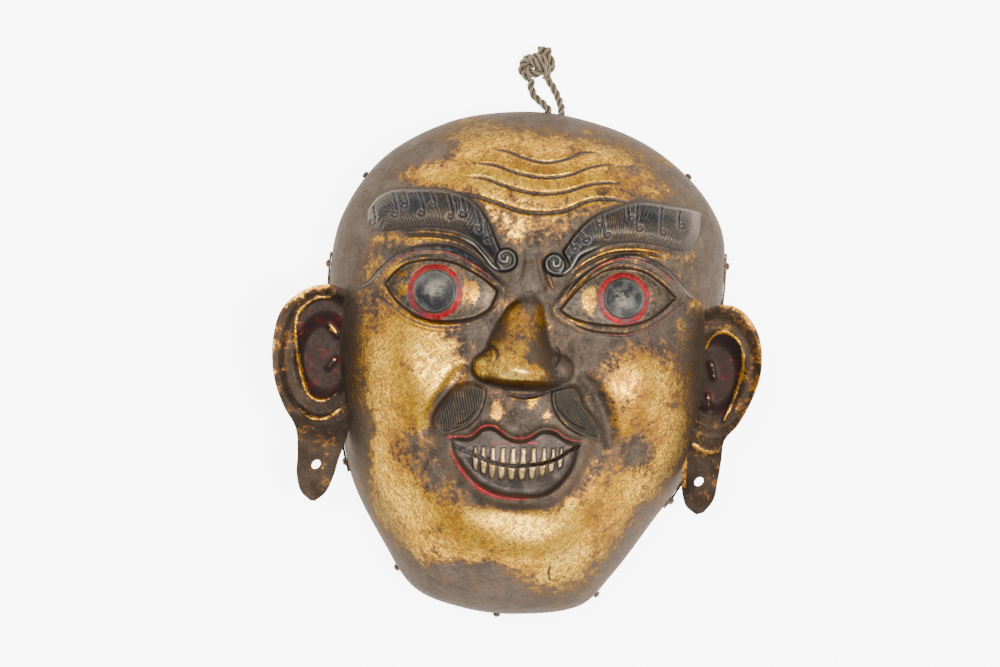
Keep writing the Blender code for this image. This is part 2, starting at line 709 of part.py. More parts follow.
def build_knot(finish):
    """The knot of the loop: a lumpy ball of wound rope that rests on the ground."""
    cx, cy = KNOT_CENTRE
    rx, ry, rz = KNOT_HALF_SIZE
    body = bmesh.new()
    bmesh.ops.create_uvsphere(body, u_segments=16, v_segments=10, radius=1.0)
    for corner in body.verts:
        turn = math.atan2(corner.co.y, corner.co.x)
        lump = 1.0 + KNOT_LUMP * math.sin(3.0 * turn) * (1.0 - corner.co.z**2)
        corner.co = Vector((corner.co.x * rx * lump, corner.co.y * ry * lump, corner.co.z * rz))
    bmesh.ops.translate(body, vec=(cx * UNIT, cy * UNIT, rz + TOUCH_GAP), verts=body.verts)
    new_object("rope_knot", body, finish)


def centre_on_origin(cords):
    """Bring the middle of the mask's box, without its cord, over the origin."""
    graph = bpy.context.evaluated_depsgraph_get()
    corners = []
    for thing in bpy.data.objects:
        if not thing.hide_render and thing.name not in cords:
            corners += [tuple(corner) for corner in thing.evaluated_get(graph).bound_box]
    middle = (np.min(corners, axis=0) + np.max(corners, axis=0)) / 2.0
    for thing in bpy.data.objects:
        thing.location = (-middle[0], -middle[1], 0.0)


def main():
    for thing in list(bpy.data.objects):
        bpy.data.objects.remove(thing, do_unlink=True)
    gilt = material("worn_gilt_copper", (0.62, 0.40, 0.12), 0.42, 0.85)
    dark_gilt = material("dark_gilt_copper", (0.30, 0.19, 0.09), 0.5, 0.7)
    rivet_finish = material("darkened_copper", (0.16, 0.11, 0.08), 0.5, 0.8)
    hemp = material("twisted_hemp", (0.36, 0.27, 0.17), 0.9, 0.0)
    face = thinned_sheet("face_shell", shell_sheet(), SHELL_TRIANGLES)
    tree = mesh_tree(face)
    guard = build_guard(face, gilt)
    shell = build_shell(face, gilt)
    build_mouth_slit(shell)
    for which in EARS:
        build_ear(which, guard, dark_gilt)
    strips = [build_strip(which, tree, guard, rivet_finish) for which in STRIPS]
    for number, degrees in enumerate(RIVETS, start=1):
        build_rivet(number, degrees, tree, shell, strips, rivet_finish)
    build_rope(tree, shell, hemp)
    build_knot(hemp)
    centre_on_origin(("hanging_rope", "rope_knot"))


main()
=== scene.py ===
"""Dresses the Tibetan cham mask: the hammered, gilt and painted face, its ears, rivets and rope loop."""
import math

import bmesh
import bpy
import numpy as np
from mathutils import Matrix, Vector


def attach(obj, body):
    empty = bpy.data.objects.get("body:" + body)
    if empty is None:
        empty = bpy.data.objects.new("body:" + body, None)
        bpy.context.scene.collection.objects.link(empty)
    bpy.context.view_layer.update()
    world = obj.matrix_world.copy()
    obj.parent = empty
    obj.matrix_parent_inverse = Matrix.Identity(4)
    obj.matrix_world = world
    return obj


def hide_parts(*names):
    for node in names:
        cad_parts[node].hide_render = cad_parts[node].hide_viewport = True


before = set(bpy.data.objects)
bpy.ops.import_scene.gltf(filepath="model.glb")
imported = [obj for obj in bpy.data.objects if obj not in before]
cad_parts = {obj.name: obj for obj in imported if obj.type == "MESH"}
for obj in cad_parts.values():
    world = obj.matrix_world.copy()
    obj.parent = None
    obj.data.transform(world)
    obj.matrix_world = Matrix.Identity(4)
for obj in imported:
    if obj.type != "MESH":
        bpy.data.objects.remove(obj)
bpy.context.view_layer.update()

# The face is drawn in units of a millimetre round its own middle; ORIGIN is where the model has that middle
UNIT = 0.001
ORIGIN = Vector((0.0082, 0.0013, 0.0))
DEPTH = 115.0
SHEET = 0.0015

# Camera: how wide the picture is in metres at the distance of the face, then place, turn and shift
SENSOR_WIDTH = 36.0
FACE_DISTANCE, VIEW_WIDTH = 1.7, 0.78
CAMERA_PLACE = (0.0082, 0.0013, 1.81)
CAMERA_TURN = 2.4
CAMERA_SHIFT = (-0.027, 0.0295)

# Studio: how strongly the white table glows in place of light falling on it, the half size of the painted
# shadow under the mask where it does not glow, the room and two lamps
FLOOR_GLOW = 6.0
PAINTED_SHADOW_PATCH = (0.150, 0.195)
ROOM_LIGHT = 0.6
LAMPS = [("key", (-0.55, 0.50, 1.80), 0.7, 36.0), ("fill", (0.70, -0.20, 1.75), 0.7, 66.0)]

# How fine the face is: cells of its grids, then triangles after thinning
OUTSIDE_CELLS, INSIDE_CELLS = (((760, 880), (300, 350)))
OUTSIDE_TRIANGLES, INSIDE_TRIANGLES = ((134000, 44000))

# Cuts and small parts in metres; the rope holes have compass angles in degrees and a level
SLIT_HALF = 0.0012
ROPE_HOLES, ROPE_HOLE_LEVEL, ROPE_HOLE_RADIUS = (87.6, 84.6), 0.0105, 0.0038
LOBE_HOLE_RADIUS, LOBE_HOLE_STRETCH = 0.0031, (1.35, 1.0)
EAR_SHEET = 0.0016
WALL_GAP = 0.0003

# The rim of the drawing, then the broad swellings: centre, reach across and along, height
RIM = [
    (24, 206), (85, 188), (130, 156), (156, 118), (160, 80), (155, 20), (149, -40), (137, -83), (107, -130),
    (77, -173), (52, -199), (2, -208), (-43, -205), (-85, -190), (-113, -152), (-140, -103), (-153, -50),
    (-161, 10), (-166, 66), (-158, 116), (-126, 165), (-75, 196), (-25, 207),
]
SWELLINGS = [
    (0, 150, 85, 50, 7), (-93, -16, 40, 42, 15), (90, -12, 40, 42, 15), (-68, 56, 60, 36, -6),
    (70, 54, 60, 36, -6), (0, 72, 17, 22, 3), (-62, -112, 38, 34, 7), (52, -112, 38, 34, 7),
    (-4, -148, 44, 26, 12), (-4, -60, 66, 44, 6), (-4, -119, 30, 9, -3),
]

# Eyes: centre, half length, rise above and below it, tilt in degrees, then pupil and its radius
EYES = {
    "left": (-69, 56, 47, 25, 26, -2.5, -74.5, 52.8, 16.0),
    "right": (69, 52, 48, 28, 24, 8.5, 73.5, 53.5, 15.0),
}
ALMOND_UP = {
    "left": [
        (-115.1, 58.1), (-107.7, 67.4), (-98.9, 74.3), (-87.2, 77.5), (-71.5, 78.6), (-59.6, 76.6),
        (-46, 70.8), (-33.9, 63.5), (-24.2, 56),
    ],
    "right": [
        (23.2, 42.4), (32.9, 55.3), (46.4, 68.5), (57.8, 75.5), (73.5, 78.2), (89.4, 75.9), (101.6, 68.7),
        (111, 61.4), (116.2, 56.2),
    ],
}
ALMOND_LOW = {
    "left": [
        (-115.1, 58.1), (-111.6, 52), (-104.6, 43.7), (-93.2, 35.2), (-76.6, 29.5), (-58.7, 29.5),
        (-40.9, 33.5), (-29.8, 41.1), (-24.2, 54),
    ],
    "right": [
        (23.2, 42.4), (29.7, 37.1), (39.9, 33.6), (61.9, 30.7), (79.1, 31.4), (94.1, 36.9), (107.6, 47.1),
        (116.2, 56.2),
    ],
}
BAND_TOP = {
    "left": [
        (-136.2, 53.9), (-129.3, 58), (-120.1, 68.9), (-106.6, 80.9), (-95.9, 86.7), (-81.4, 89.7),
        (-65.9, 90), (-52.2, 86.1), (-43.2, 80.9), (-34.3, 73.9), (-25.5, 63),
    ],
    "right": [
        (23.8, 46.2), (26.7, 51), (38.5, 68.7), (54.5, 80.4), (73.1, 88.5), (90.6, 87.1), (106.2, 79.7),
        (122.6, 64.4), (131, 56.4),
    ],
}
BAND_LOW = {
    "left": [
        (-135, 53), (-126, 57.5), (-117.5, 66), (-109.5, 75), (-99.4, 81.1), (-92, 83.6), (-79.2, 84.7),
        (-63.8, 83.4), (-51.9, 78.9), (-42.7, 73.9), (-33.4, 66.2), (-26.5, 61),
    ],
    "right": [
        (24.5, 47), (35.1, 61), (46.2, 72.4), (63.8, 83.3), (78.8, 84.9), (92.4, 81.7), (106.4, 73.8),
        (115.7, 65.7), (124, 57), (130, 55.4),
    ],
}
CREASES = {
    "left": [
        (-106.1, 73.4), (-93.6, 79.2), (-79.4, 80.9), (-61.2, 78.9), (-47.3, 73.1), (-36.4, 66.9),
        (-28.7, 60.5),
    ],
    "right": [
        (37.4, 57.9), (48, 70.3), (63.9, 80.1), (78.8, 80.8), (92.5, 77.6), (104.7, 70.4), (115.8, 60.1),
    ],
}
LOWER_LIDS = {
    "left": [
        (-129.9, 54), (-119.6, 47.1), (-109.4, 41), (-93, 30.5), (-80.9, 26.1), (-58.7, 25.2), (-40.7, 29.1),
        (-27.7, 36.8), (-20.1, 47),
    ],
    "right": [
        (25.7, 39.3), (33.7, 32.5), (46.3, 26.8), (62, 24.8), (75.3, 25), (94.1, 31.3), (113.1, 44.9),
        (127.1, 55.3),
    ],
}
BROW_TOP = {
    "left": [
        (-131.7, 117.3), (-125.8, 125.6), (-114.6, 131.7), (-94.9, 132.8), (-68, 132.1), (-54.9, 128.8),
        (-46.7, 123.5), (-35.2, 109.2), (-28.3, 94.9), (-24.7, 86.9),
    ],
    "right": [
        (24.4, 87.7), (32.5, 100.5), (44.5, 113.7), (62.3, 123.4), (83.7, 129.7), (109.8, 128.5),
        (135.5, 127.2),
    ],
}
BROW_LOW = {
    "left": [
        (-133.7, 110.7), (-130.3, 104.1), (-121.7, 99.5), (-104.7, 100.8), (-75.5, 102.8), (-57.3, 100.1),
        (-45.3, 94.2), (-34.1, 84.3), (-27.4, 76.1),
    ],
    "right": [
        (28.9, 72.1), (41.6, 85.1), (60.8, 94.7), (84.5, 97.6), (107.2, 95.2), (120.5, 93), (130.8, 103.3),
        (135.5, 127.2),
    ],
}
BROW_FOLDS = {
    "left": [(-104.2, 98.5), (-75.5, 99.4), (-57.1, 96.1), (-45.1, 89.9), (-33.9, 79.4), (-26.4, 70.5)],
    "right": [(27.6, 67.3), (41.8, 80.3), (61.1, 89.9), (84.7, 92.7), (107.3, 90.2)],
}
SPIRALS = {"left": (-19.6, 79.6, 8.2), "right": (18.4, 77.4, 8.2)}
SPIRAL_LINES = {
    "left": [
        (-57, 98.5), (-46.8, 93), (-38, 82.5), (-30.5, 74.4), (-20.8, 71.4), (-13.2, 75.7), (-13.4, 83.4),
        (-19.7, 87.2), (-25.1, 83.6), (-23.4, 78.6), (-19.4, 78.4), (-18.6, 81.6),
    ],
    "right": [
        (58, 96), (47, 91), (37.5, 85.8), (31.4, 75.8), (22.1, 69.8), (14.2, 73.4), (12.6, 80.6), (17, 84.7),
        (22.2, 81.6), (21.4, 76.8), (18.0, 76.4), (17.6, 79.6),
    ],
}
# Curls of the brows: where the middle of each is and where its stem starts
CURL_RADIUS = 2.7
CURLS = {
    "left": [
        (-127.5, 106.6, -127.3, 120), (-109.7, 113, -112, 131.2), (-102, 120.3, -103.8, 131.9),
        (-88, 114.1, -90.8, 131.9), (-79.6, 120.6, -81.2, 132.1), (-64.9, 112.2, -67.7, 131.7),
        (-55.6, 114.1, -57.2, 128.8), (-42.5, 102.7, -45, 121.1), (-34.7, 94.8, -36.6, 110.1),
    ],
    "right": [
        (33.6, 91, 28.8, 96.5), (42.7, 97.7, 35.4, 105.4), (52.4, 110.7, 47.6, 116.3),
        (59, 102.4, 53.7, 119.7), (77.5, 117, 74.1, 127.4), (84.1, 109.4, 82.1, 128.7),
        (103.4, 107.5, 101.5, 128.5), (118, 113.5, 116.4, 126.6),
    ],
}
FOREHEAD_GROOVES = [
    [(-39, 168.6), (-24, 167.3), (-9.4, 161.8), (7.9, 158.5), (22.9, 161.9), (39, 169.4), (56.4, 168.6)],
    [
        (-52.6, 156.1), (-33.4, 155.1), (-12.8, 148.4), (9.3, 145.9), (27.3, 149.3), (45.4, 157.4),
        (59.6, 160), (68.8, 158.5),
    ],
    [
        (-61, 144.4), (-40.7, 143.6), (-22.4, 137.6), (-4.2, 133.2), (11.8, 132.9), (27.7, 136.1),
        (43.6, 142.4), (59.8, 144.9), (77.2, 143.6),
    ],
    [
        (-70, 131.5), (-48, 129.4), (-31.8, 124.9), (-11.5, 118.5), (8.4, 117.4), (24.3, 120.1), (44, 129.3),
        (60, 131.3), (82.6, 128.2),
    ],
]
# Other folds: points, half width, height
FOLDS = [
    ([(-46, -2), (-60, -22), (-74, -48), (-76, -66)], 6.0, -5.0),
    ([(40, -4), (56, -24), (66, -50), (67, -68)], 6.0, -5.0),
    ([(-6.1, 90), (-7, 76.5), (-8.9, 62)], 2.2, -1.6),
    ([(4.3, 90), (6.6, 77.1), (9.9, 65.9), (14.5, 56.6)], 2.2, -1.6),
    ([(10, 84), (11.5, 74), (15.5, 64), (19, 57)], 1.6, 1.8),
    ([(25, -158), (24, -166), (26, -173)], 0.8, -1.6),
]
UNDER_NOSE = [(-21, -17.7), (-14.1, -24.1), (-4.6, -26.1), (6.6, -25.1), (15.9, -21.4), (36.3, -16)]
# Nose: place along it, middle, half width, height; then the wings: centre, reach across and along, height
NOSE = [
    (56, -1, 5, 1), (50, -1, 9, 5), (46, -2, 13, 9), (34, -5, 19, 15), (16, -7, 25, 24), (2, -7, 31, 31),
    (-9, -5, 35, 33), (-15, -4, 32, 25), (-18.5, -3, 28, 9), (-22, -3, 24, 0),
]
NOSTRILS = [(-30, -5, 14, 13, 12), (24, -4, 13.5, 13, 10)]
WING_CREASES = [
    [(-36, 7), (-32, 10.5), (-27.5, 11), (-24.3, 8), (-23.6, 3.5), (-26, -1)],
    [(18.5, 15.3), (21.9, 11.7), (24.4, 6.2), (22.5, 1.5), (19, -3)],
]
TUFTS = {
    "left": (
        [(-31.3, -20.5), (-32.6, -31.8), (-35, -39.3), (-43.5, -49.8), (-52.3, -54.4), (-62.3, -57.2)],
        [
            (-31.3, -20.5), (-42.2, -17), (-53, -20.2), (-62, -28.3), (-68.6, -37.2), (-71.4, -45.9),
            (-68.7, -52.8), (-62.3, -57.2),
        ],
    ),
    "right": (
        [(21.1, -20.2), (21.5, -29.5), (25, -37.9), (32.4, -46.6), (48, -54.4), (59.3, -57.6)],
        [
            (21.1, -20.2), (31.1, -15.9), (39.7, -17.1), (45.7, -29.1), (54.7, -40.6), (59.9, -51.3),
            (59.3, -57.6),
        ],
    ),
}
# Mouth: lips, slit, middles of the teeth, their outer ends, the red band and the gum
UPPER_LIP = [
    (-59.6, -60.2), (-51.4, -59.2), (-42.5, -58.7), (-37.3, -54.8), (-33, -51), (-27.8, -49.5),
    (-22.4, -50.2), (-17.9, -53.1), (-12.3, -56.9), (-5.3, -58.7), (2.9, -57.5), (8.1, -54.2), (12.2, -51.4),
    (20.3, -50.6), (25.8, -52.2), (30.3, -55.6), (35.8, -58), (47.6, -59.5),
]
LOWER_LIP = [
    (-59.6, -60.2), (-56.2, -73.5), (-50.5, -82.1), (-42, -91.6), (-32.8, -99.3), (-22.1, -104.4),
    (-8.4, -107), (5, -107.2), (18.2, -105), (28.6, -98), (39.6, -84), (47.6, -59.5),
]
SLIT = [
    (-54, -66), (-43, -71.4), (-33.9, -74.6), (-25.8, -77.8), (-14.9, -80.1), (-4.4, -80.4), (6.4, -79.2),
    (18, -76.9), (27.7, -72.8), (37.2, -66.2), (43, -62.4),
]
TEETH_UP = [-44.4, -37.2, -31.0, -23.4, -15.6, -7.7, 0.3, 8.2, 16.4, 23.5, 29.6]
TEETH_LOW = [-37.0, -30.4, -23.7, -16.3, -8.6, -0.4, 7.6, 15.4, 22.4, 29.0]
TEETH_TOP = [
    (-44.6, -67.3), (-37.5, -66.6), (-23.6, -66.8), (-7.9, -66.4), (8, -65.8), (23.4, -65.6), (30, -64.5),
]
TEETH_BOTTOM = [
    (-44, -81.3), (-36.7, -85.5), (-30.4, -87.8), (-23.5, -90.8), (-8.3, -91.9), (7.8, -90.5), (15.5, -87.8),
    (22.3, -84.4), (29, -80.8),
]
LIP_BAND = [
    (-59, -64.5), (-50.2, -80.4), (-40, -92.4), (-28.5, -100.6), (-14.8, -104.4), (2.4, -104.9),
    (19.2, -103.2),
]
GUM = [(-26.1, -64.0), (-14.5, -62.3), (-5.1, -61.8), (12, -62.3)]

# How much gilding is left: centre, reach across and along, amount
GILDING = [
    (8, 158, 66, 32, 0.95), (-44, 180, 44, 18, 0.55), (-98, 148, 24, 13, 0.62), (-72, 140, 20, 12, 0.35),
    (98, 150, 30, 24, 0.5), (60, 178, 40, 16, 0.45), (-6, -8, 26, 14, 1.3), (-16, 22, 11, 24, 0.9),
    (12, 30, 7, 16, 0.8), (-2, 26, 6, 14, 0.6), (-92, 12, 36, 36, 1.25), (-84, -34, 34, 24, 0.8),
    (-104, -84, 26, 56, 0.75), (-120, 10, 22, 50, 0.3), (-50, -134, 46, 30, 1.0), (-90, -128, 26, 30, 0.5),
    (20, -132, 52, 20, 0.85), (62, -118, 30, 34, 0.7), (92, -26, 36, 44, 1.3), (112, -70, 20, 40, 0.5),
    (72, -98, 30, 30, 0.6), (30, -160, 40, 20, 0.6), (-46, 54, 8, 12, 1.75), (-103, 67, 8, 5, 1.5),
    (-99, 54, 6, 7, 0.9), (48, 52, 7, 13, 1.6), (97, 54, 6, 10, 0.9), (-92, 93, 30, 4, 0.6),
    (88, 89, 30, 4, 0.7), (-22, -42, 5, 13, 1.9), (17, -44, 4, 9, 1.5), (6, -30, 4, 5, 1.3),
    (0, 104, 26, 10, 0.35), (-4, 20, 5, 5, -0.5), (4, 4, 6, 7, -0.8), (-12, 8, 6, 6, -0.5),
    (24, -4, 12, 16, -0.9), (-72, 56, 58, 34, -0.55), (72, 52, 58, 34, -0.5), (1, 74, 20, 20, -0.55),
    (-4, -64, 62, 38, -0.75), (-13, 40, 8, 13, 1.0), (8, 42, 5, 10, 0.9), (-27, -4, 9, 9, 0.8),
    (-4, -109, 46, 8, -0.8), (0, 160, 110, 50, 0.12), (-64, -28, 10, 24, -0.6), (58, -34, 10, 24, -0.6),
    (-44, 12, 10, 24, -0.5), (44, 10, 8, 22, -0.5), (88, -66, 17, 14, -0.85), (70, -88, 12, 10, -0.4),
    (-22, -166, 13, 9, -0.8), (-50, -165, 13, 7, -0.6), (44, -134, 13, 9, -0.4), (-84, 165, 14, 10, -0.7),
    (-116, 122, 18, 18, -0.35), (-128, -52, 10, 26, -0.4), (-86, -62, 8, 9, -0.5), (-70, -96, 12, 8, -0.35),
]

# High points that are rubbed to a paler gold and also carry painted highlights: centre, reach across and
# along, amount
RUBBED_GOLD_AND_HIGHLIGHTS = [
    (94, -8, 26, 36, 0.55), (-82, -2, 22, 24, 0.6), (-8, -9, 17, 8, 1.0), (4, 24, 4, 14, 0.6),
    (-62, -148, 22, 14, 0.6), (34, -150, 30, 14, 0.7), (-52, -118, 14, 16, 0.4), (0, 166, 50, 12, 0.4),
]

# Rope: the route of the loop in metres from ORIGIN, then the turns of the knot in millimetres
ROPE_DIAMETER, ROPE_TWIST = 0.0060, 0.021
ROPE_STEP, ROPE_SIDES = 0.0006, 42
KNOT_ROPE_RADIUS = 0.0037
ROPE_ROUTE = [
    (-0.0064, 0.2354, 0.0048), (-0.0062, 0.229, 0.0038), (-0.0036, 0.222, 0.0043), (0.0048, 0.2142, 0.0083),
    (0.0088, 0.20945, 0.0105), (0.00843, 0.20226, 0.0105), (0.007, 0.193, 0.0072), (0.001, 0.183, 0.0041),
    (0.002, 0.171, 0.0034), (0.0135, 0.165, 0.0034), (0.0245, 0.17, 0.0034), (0.026, 0.182, 0.0041),
    (0.0205, 0.193, 0.0072), (0.01879, 0.20136, 0.0105), (0.01983, 0.20849, 0.0105),
    (0.0188, 0.2148, 0.0083), (0.0164, 0.221, 0.0043), (0.0124, 0.2284, 0.0038), (0.0066, 0.2366, 0.0048),
]
KNOT_TURNS = [
    [
        (-6.4, 235.8, 5.2), (-10.6, 237.6, 5.0), (-14.0, 241.8, 5.4), (-13.4, 247.0, 7.0),
        (-9.2, 251.2, 9.6), (-3.6, 252.6, 12.6), (1.6, 250.2, 14.6), (5.2, 245.6, 13.6), (5.8, 240.4, 9.4),
        (6.4, 236.8, 5.2),
    ],
    [
        (1.4, 261.6, 6.6), (1.0, 256.4, 7.4), (-1.8, 251.0, 7.4), (-6.6, 247.0, 7.0), (-9.4, 243.0, 9.4),
        (-6.4, 239.2, 12.4), (-1.0, 239.0, 13.6), (3.6, 242.6, 11.0), (4.4, 247.6, 8.2),
    ],
    [
        (6.8, 260.9, 8.0), (6.2, 255.8, 8.6), (8.6, 251.4, 8.2), (10.2, 247.0, 7.6), (7.6, 243.0, 6.2),
        (2.0, 242.4, 5.0), (-3.6, 244.2, 4.4),
    ],
    [(-11.6, 251.4, 6.6), (-7.6, 250.6, 11.0), (-2.2, 247.0, 15.2), (2.8, 243.4, 15.0), (6.6, 240.2, 9.6)],
]
# Rivets: compass angles in degrees, level, profile of the shank, and which of them hold the side strips
RIVETS = [51.5, 28.5, -3.0, -41.5, -71.0, -94.5, -120.0, -149.0, 178.5, 155.5, 133.0]
RIVET_LEVEL = 0.0095
RIVET_HEAD, RIVET_RISE = 0.0034, 0.0024
RIVET_SHANK = [(0.0, -0.0032), (0.0022, -0.0031), (0.0022, -0.0023), (0.0011, -0.0022)]
ON_STRIPS = (2, 3, 4, 8, 9, 10)

# Ears: outlines, then the middle, the dish with its reach, the hole of the lobe and the level
EARS = {
    "left": {
        "outer": [
            (-162, 56.5), (-171, 55), (-185, 48), (-198, 34), (-203, 17), (-204, -4), (-201, -24),
            (-194, -42), (-184, -60), (-182, -80), (-182, -99), (-178, -112), (-171, -118.5),
        ],
        "inner": [
            (-157, 56), (-147, 52), (-139, 40), (-136, 10), (-138, -30), (-143, -66), (-149, -84),
            (-153, -99), (-159, -112), (-167, -119),
        ],
        "middle": (-172, -22), "dish": (-163, -2, 25, 37), "hole": (-167, -89), "level": 55.0,
    },
    "right": {
        "outer": [
            (154, 53), (162, 52.5), (173, 46), (182, 34), (187, 17), (186, -4), (180, -24), (171, -42),
            (161, -57), (160, -71), (158, -88), (155, -105), (148, -115),
        ],
        "inner": [
            (149, 52), (138, 47), (129, 36), (124, 10), (124, -30), (127, -60), (129, -81), (130, -100),
            (134, -111), (142, -117),
        ],
        "middle": (153, -22), "dish": (152, -2, 24, 35), "hole": (143, -90), "level": 56.0,
    },
}
EAR_CREASE = {
    "left": [
        (-160, 46), (-170, 45), (-179, 39), (-185, 31), (-187, 20), (-186, 12), (-184.5, 2), (-182, -12),
        (-178.5, -24), (-174, -33), (-168, -37), (-159, -35.5), (-153, -31),
    ],
    "right": [(143, 16), (149, 28), (157, 31.5), (168, 25), (173, 9), (170, -12), (160, -40)],
}
EAR_ARCS = {
    "left": [(-181, -44), (-175, -50), (-167, -52), (-158, -50), (-149, -43)],
    "right": [(136, -60), (143, -64), (150, -66), (157, -65)],
}
TRAGUS = {
    "left": [[(-161, 24), (-157, 20), (-154, 16)], [(-155, -3), (-158, -7), (-160, -10)]],
    "right": [[(148, 6), (150, 1), (151, -5)], [(147, -20), (148, -26), (149, -31)]],
}


def smooth_step(low, high, value):
    share = np.clip((value - low) / (high - low), 0.0, 1.0)
    return share * share * (3.0 - 2.0 * share)


def bell(distance, reach):
    return np.exp(-(distance / reach) ** 2)


def soft_spots(x, y, rows):
    """The sum of soft spots; a row has centre, reach across and along, and amount."""
    total = np.zeros(x.shape)
    for cx, cy, rx, ry, amount in rows:
        total += amount * np.exp(-((x - cx) / rx) ** 2 - ((y - cy) / ry) ** 2)
    return total


def curve_through(points, count, closed=False):
    """Points of a smooth curve through the given points, with any number of columns."""
    points = np.array(points, dtype=float)
    total = len(points)
    steps = np.linalg.norm(np.diff(points[:, :2], axis=0, append=points[:1, :2]), axis=1)
    knots = np.concatenate([[0.0], np.cumsum(steps)])
    if closed:
        before, after = np.roll(points, 1, axis=0), np.roll(points, -1, axis=0)
        slopes = (after - before) / (np.roll(steps, 1) + steps)[:, None]
        ends = np.vstack([points, points[:1]])
        slopes = np.vstack([slopes, slopes[:1]])
    else:
        knots = knots[:total]
        ends = points
        slopes = np.gradient(points, knots, axis=0)
    where = np.linspace(0.0, knots[-1], count, endpoint=not closed)
    index = np.clip(np.searchsorted(knots, where, side="right") - 1, 0, len(knots) - 2)
    span = (knots[index + 1] - knots[index])[:, None]
    t = ((where - knots[index])[:, None]) / span
    start, end = ends[index], ends[index + 1]
    leave, arrive = slopes[index] * span, slopes[index + 1] * span
    return (
        (2 * t**3 - 3 * t**2 + 1) * start + (t**3 - 2 * t**2 + t) * leave
        + (3 * t**2 - 2 * t**3) * end + (t**3 - t**2) * arrive
    )


def distance_to(x, y, line):
    """Distance to a drawn line and the share of the way along it."""
    best = np.full(x.shape, 1e9)
    along = np.zeros(x.shape)
    last = len(line) - 2
    for i in range(last + 1):
        ax, ay = line[i, 0], line[i, 1]
        bx, by = line[i + 1, 0] - ax, line[i + 1, 1] - ay
        share = np.clip(((x - ax) * bx + (y - ay) * by) / (bx * bx + by * by + 1e-12), 0.0, 1.0)
        distance = np.hypot(x - ax - share * bx, y - ay - share * by)
        closer = distance < best
        best = np.where(closer, distance, best)
        along = np.where(closer, (i + share) / (last + 1), along)
    return best, along


def away_from(x, y, points, count):
    """Distance to the smooth line through the given points."""
    return distance_to(x, y, curve_through(points, count))[0]


def window(x, y, points, reach):
    """Which points of the sheet lie near a drawn feature."""
    drawn = np.array([point[:2] for point in points], dtype=float)
    low, high = drawn.min(axis=0) - reach, drawn.max(axis=0) + reach
    return np.nonzero((x > low[0]) & (x < high[0]) & (y > low[1]) & (y < high[1]))[0]


def inside_of(x, y, outline):
    """Distance to a closed outline, above nought inside it."""
    ring = np.vstack([outline, outline[:1]])
    distance, _ = distance_to(x, y, ring)
    inside = np.zeros(x.shape, dtype=bool)
    for (ax, ay), (bx, by) in zip(ring, ring[1:]):
        crosses = (ay > y) != (by > y)
        inside ^= crosses & (x < ax + (y - ay) * (bx - ax) / (by - ay + 1e-9))
    return np.where(inside, distance, -distance)


def between(first, second, count=30):
    """The closed outline between two drawn lines that run the same way."""
    return np.vstack([curve_through(first, count), curve_through(second, count)[::-1][1:-1]])


BROW_OUTLINES = {side: between(BROW_TOP[side], BROW_LOW[side], 36) for side in BROW_TOP}
ALMONDS = {side: between(ALMOND_UP[side], ALMOND_LOW[side]) for side in ALMOND_UP}
BANDS = {side: between(BAND_TOP[side], BAND_LOW[side], 34) for side in BAND_TOP}
TUFT_OUTLINES = {side: between(*TUFTS[side], 22) for side in TUFTS}
MOUTH_OUTLINE = between(UPPER_LIP, LOWER_LIP, 48)


def groove(total, x, y, points, half_width, height, taper=0.14, count=26):
    """Adds a raised or sunk line with tapered ends."""
    i = window(x, y, points, 3.2 * half_width)
    distance, along = distance_to(x[i], y[i], curve_through(points, count))
    ends = smooth_step(0.0, taper, along) * smooth_step(0.0, taper, 1.0 - along)
    total[i] += height * ends * bell(distance, half_width)


def lumps(x, y, cell, seed):
    """Soft random unevenness with a grain of the given size, from -1 to 1."""
    random = np.random.default_rng(seed).uniform(-1.0, 1.0, (96, 96))
    u, v = x / cell + 48.0, y / cell + 48.0
    i, j = np.floor(u).astype(int) % 95, np.floor(v).astype(int) % 95
    s, t = u - np.floor(u), v - np.floor(v)
    s, t = s * s * (3.0 - 2.0 * s), t * t * (3.0 - 2.0 * t)
    low = random[i, j] * (1.0 - s) + random[i + 1, j] * s
    high = random[i, j + 1] * (1.0 - s) + random[i + 1, j + 1] * s
    return low * (1.0 - t) + high * t


def rim_radius(angle):
    drawn = curve_through(RIM, 360, closed=True)
    angles = np.arctan2(drawn[:, 1], drawn[:, 0])
    order = np.argsort(angles)
    return np.interp(angle, angles[order], np.hypot(drawn[:, 0], drawn[:, 1])[order], period=2 * math.pi)


def dome(share):
    return DEPTH * np.sqrt(np.clip(1.0 - share**3, 0.0, 1.0))


def add_eye(total, x, y, side):
    cx, cy, half, rise, drop, tilt, px, py, pupil = EYES[side]
    i = window(x, y, BAND_TOP[side] + LOWER_LIDS[side], 14.0)
    xs, ys = x[i], y[i]
    turn = math.radians(tilt)
    u = ((xs - cx) * math.cos(turn) + (ys - cy) * math.sin(turn)) / half
    v = -(xs - cx) * math.sin(turn) + (ys - cy) * math.cos(turn)
    inside = inside_of(xs, ys, ALMONDS[side])
    part = -4.5 * smooth_step(-0.6, 2.6, inside)
    part += 3.2 * bell(inside + 3.5, 3.6)
    reach = np.hypot(u, v / (0.5 * (rise + drop)))
    part += 11.0 * np.clip(1.0 - reach**2, 0.0, 1.0)
    from_pupil = np.hypot(xs - px, ys - py)
    part += 1.5 * smooth_step(-0.9, 0.9, pupil - from_pupil)
    part += 0.7 * bell(from_pupil - pupil, 0.9)
    part -= 0.5 * bell(from_pupil - pupil - 5.4, 0.8)
    part += 1.8 * smooth_step(-0.8, 2.6, inside_of(xs, ys, BANDS[side]))
    total[i] += part
    lines = ((BAND_TOP, 1.2, -1.0), (BAND_LOW, 1.0, 1.0), (CREASES, 0.9, -1.2), (LOWER_LIDS, 1.1, -1.3))
    for points, half_width, height in lines:
        groove(total, x, y, points[side], half_width, height)


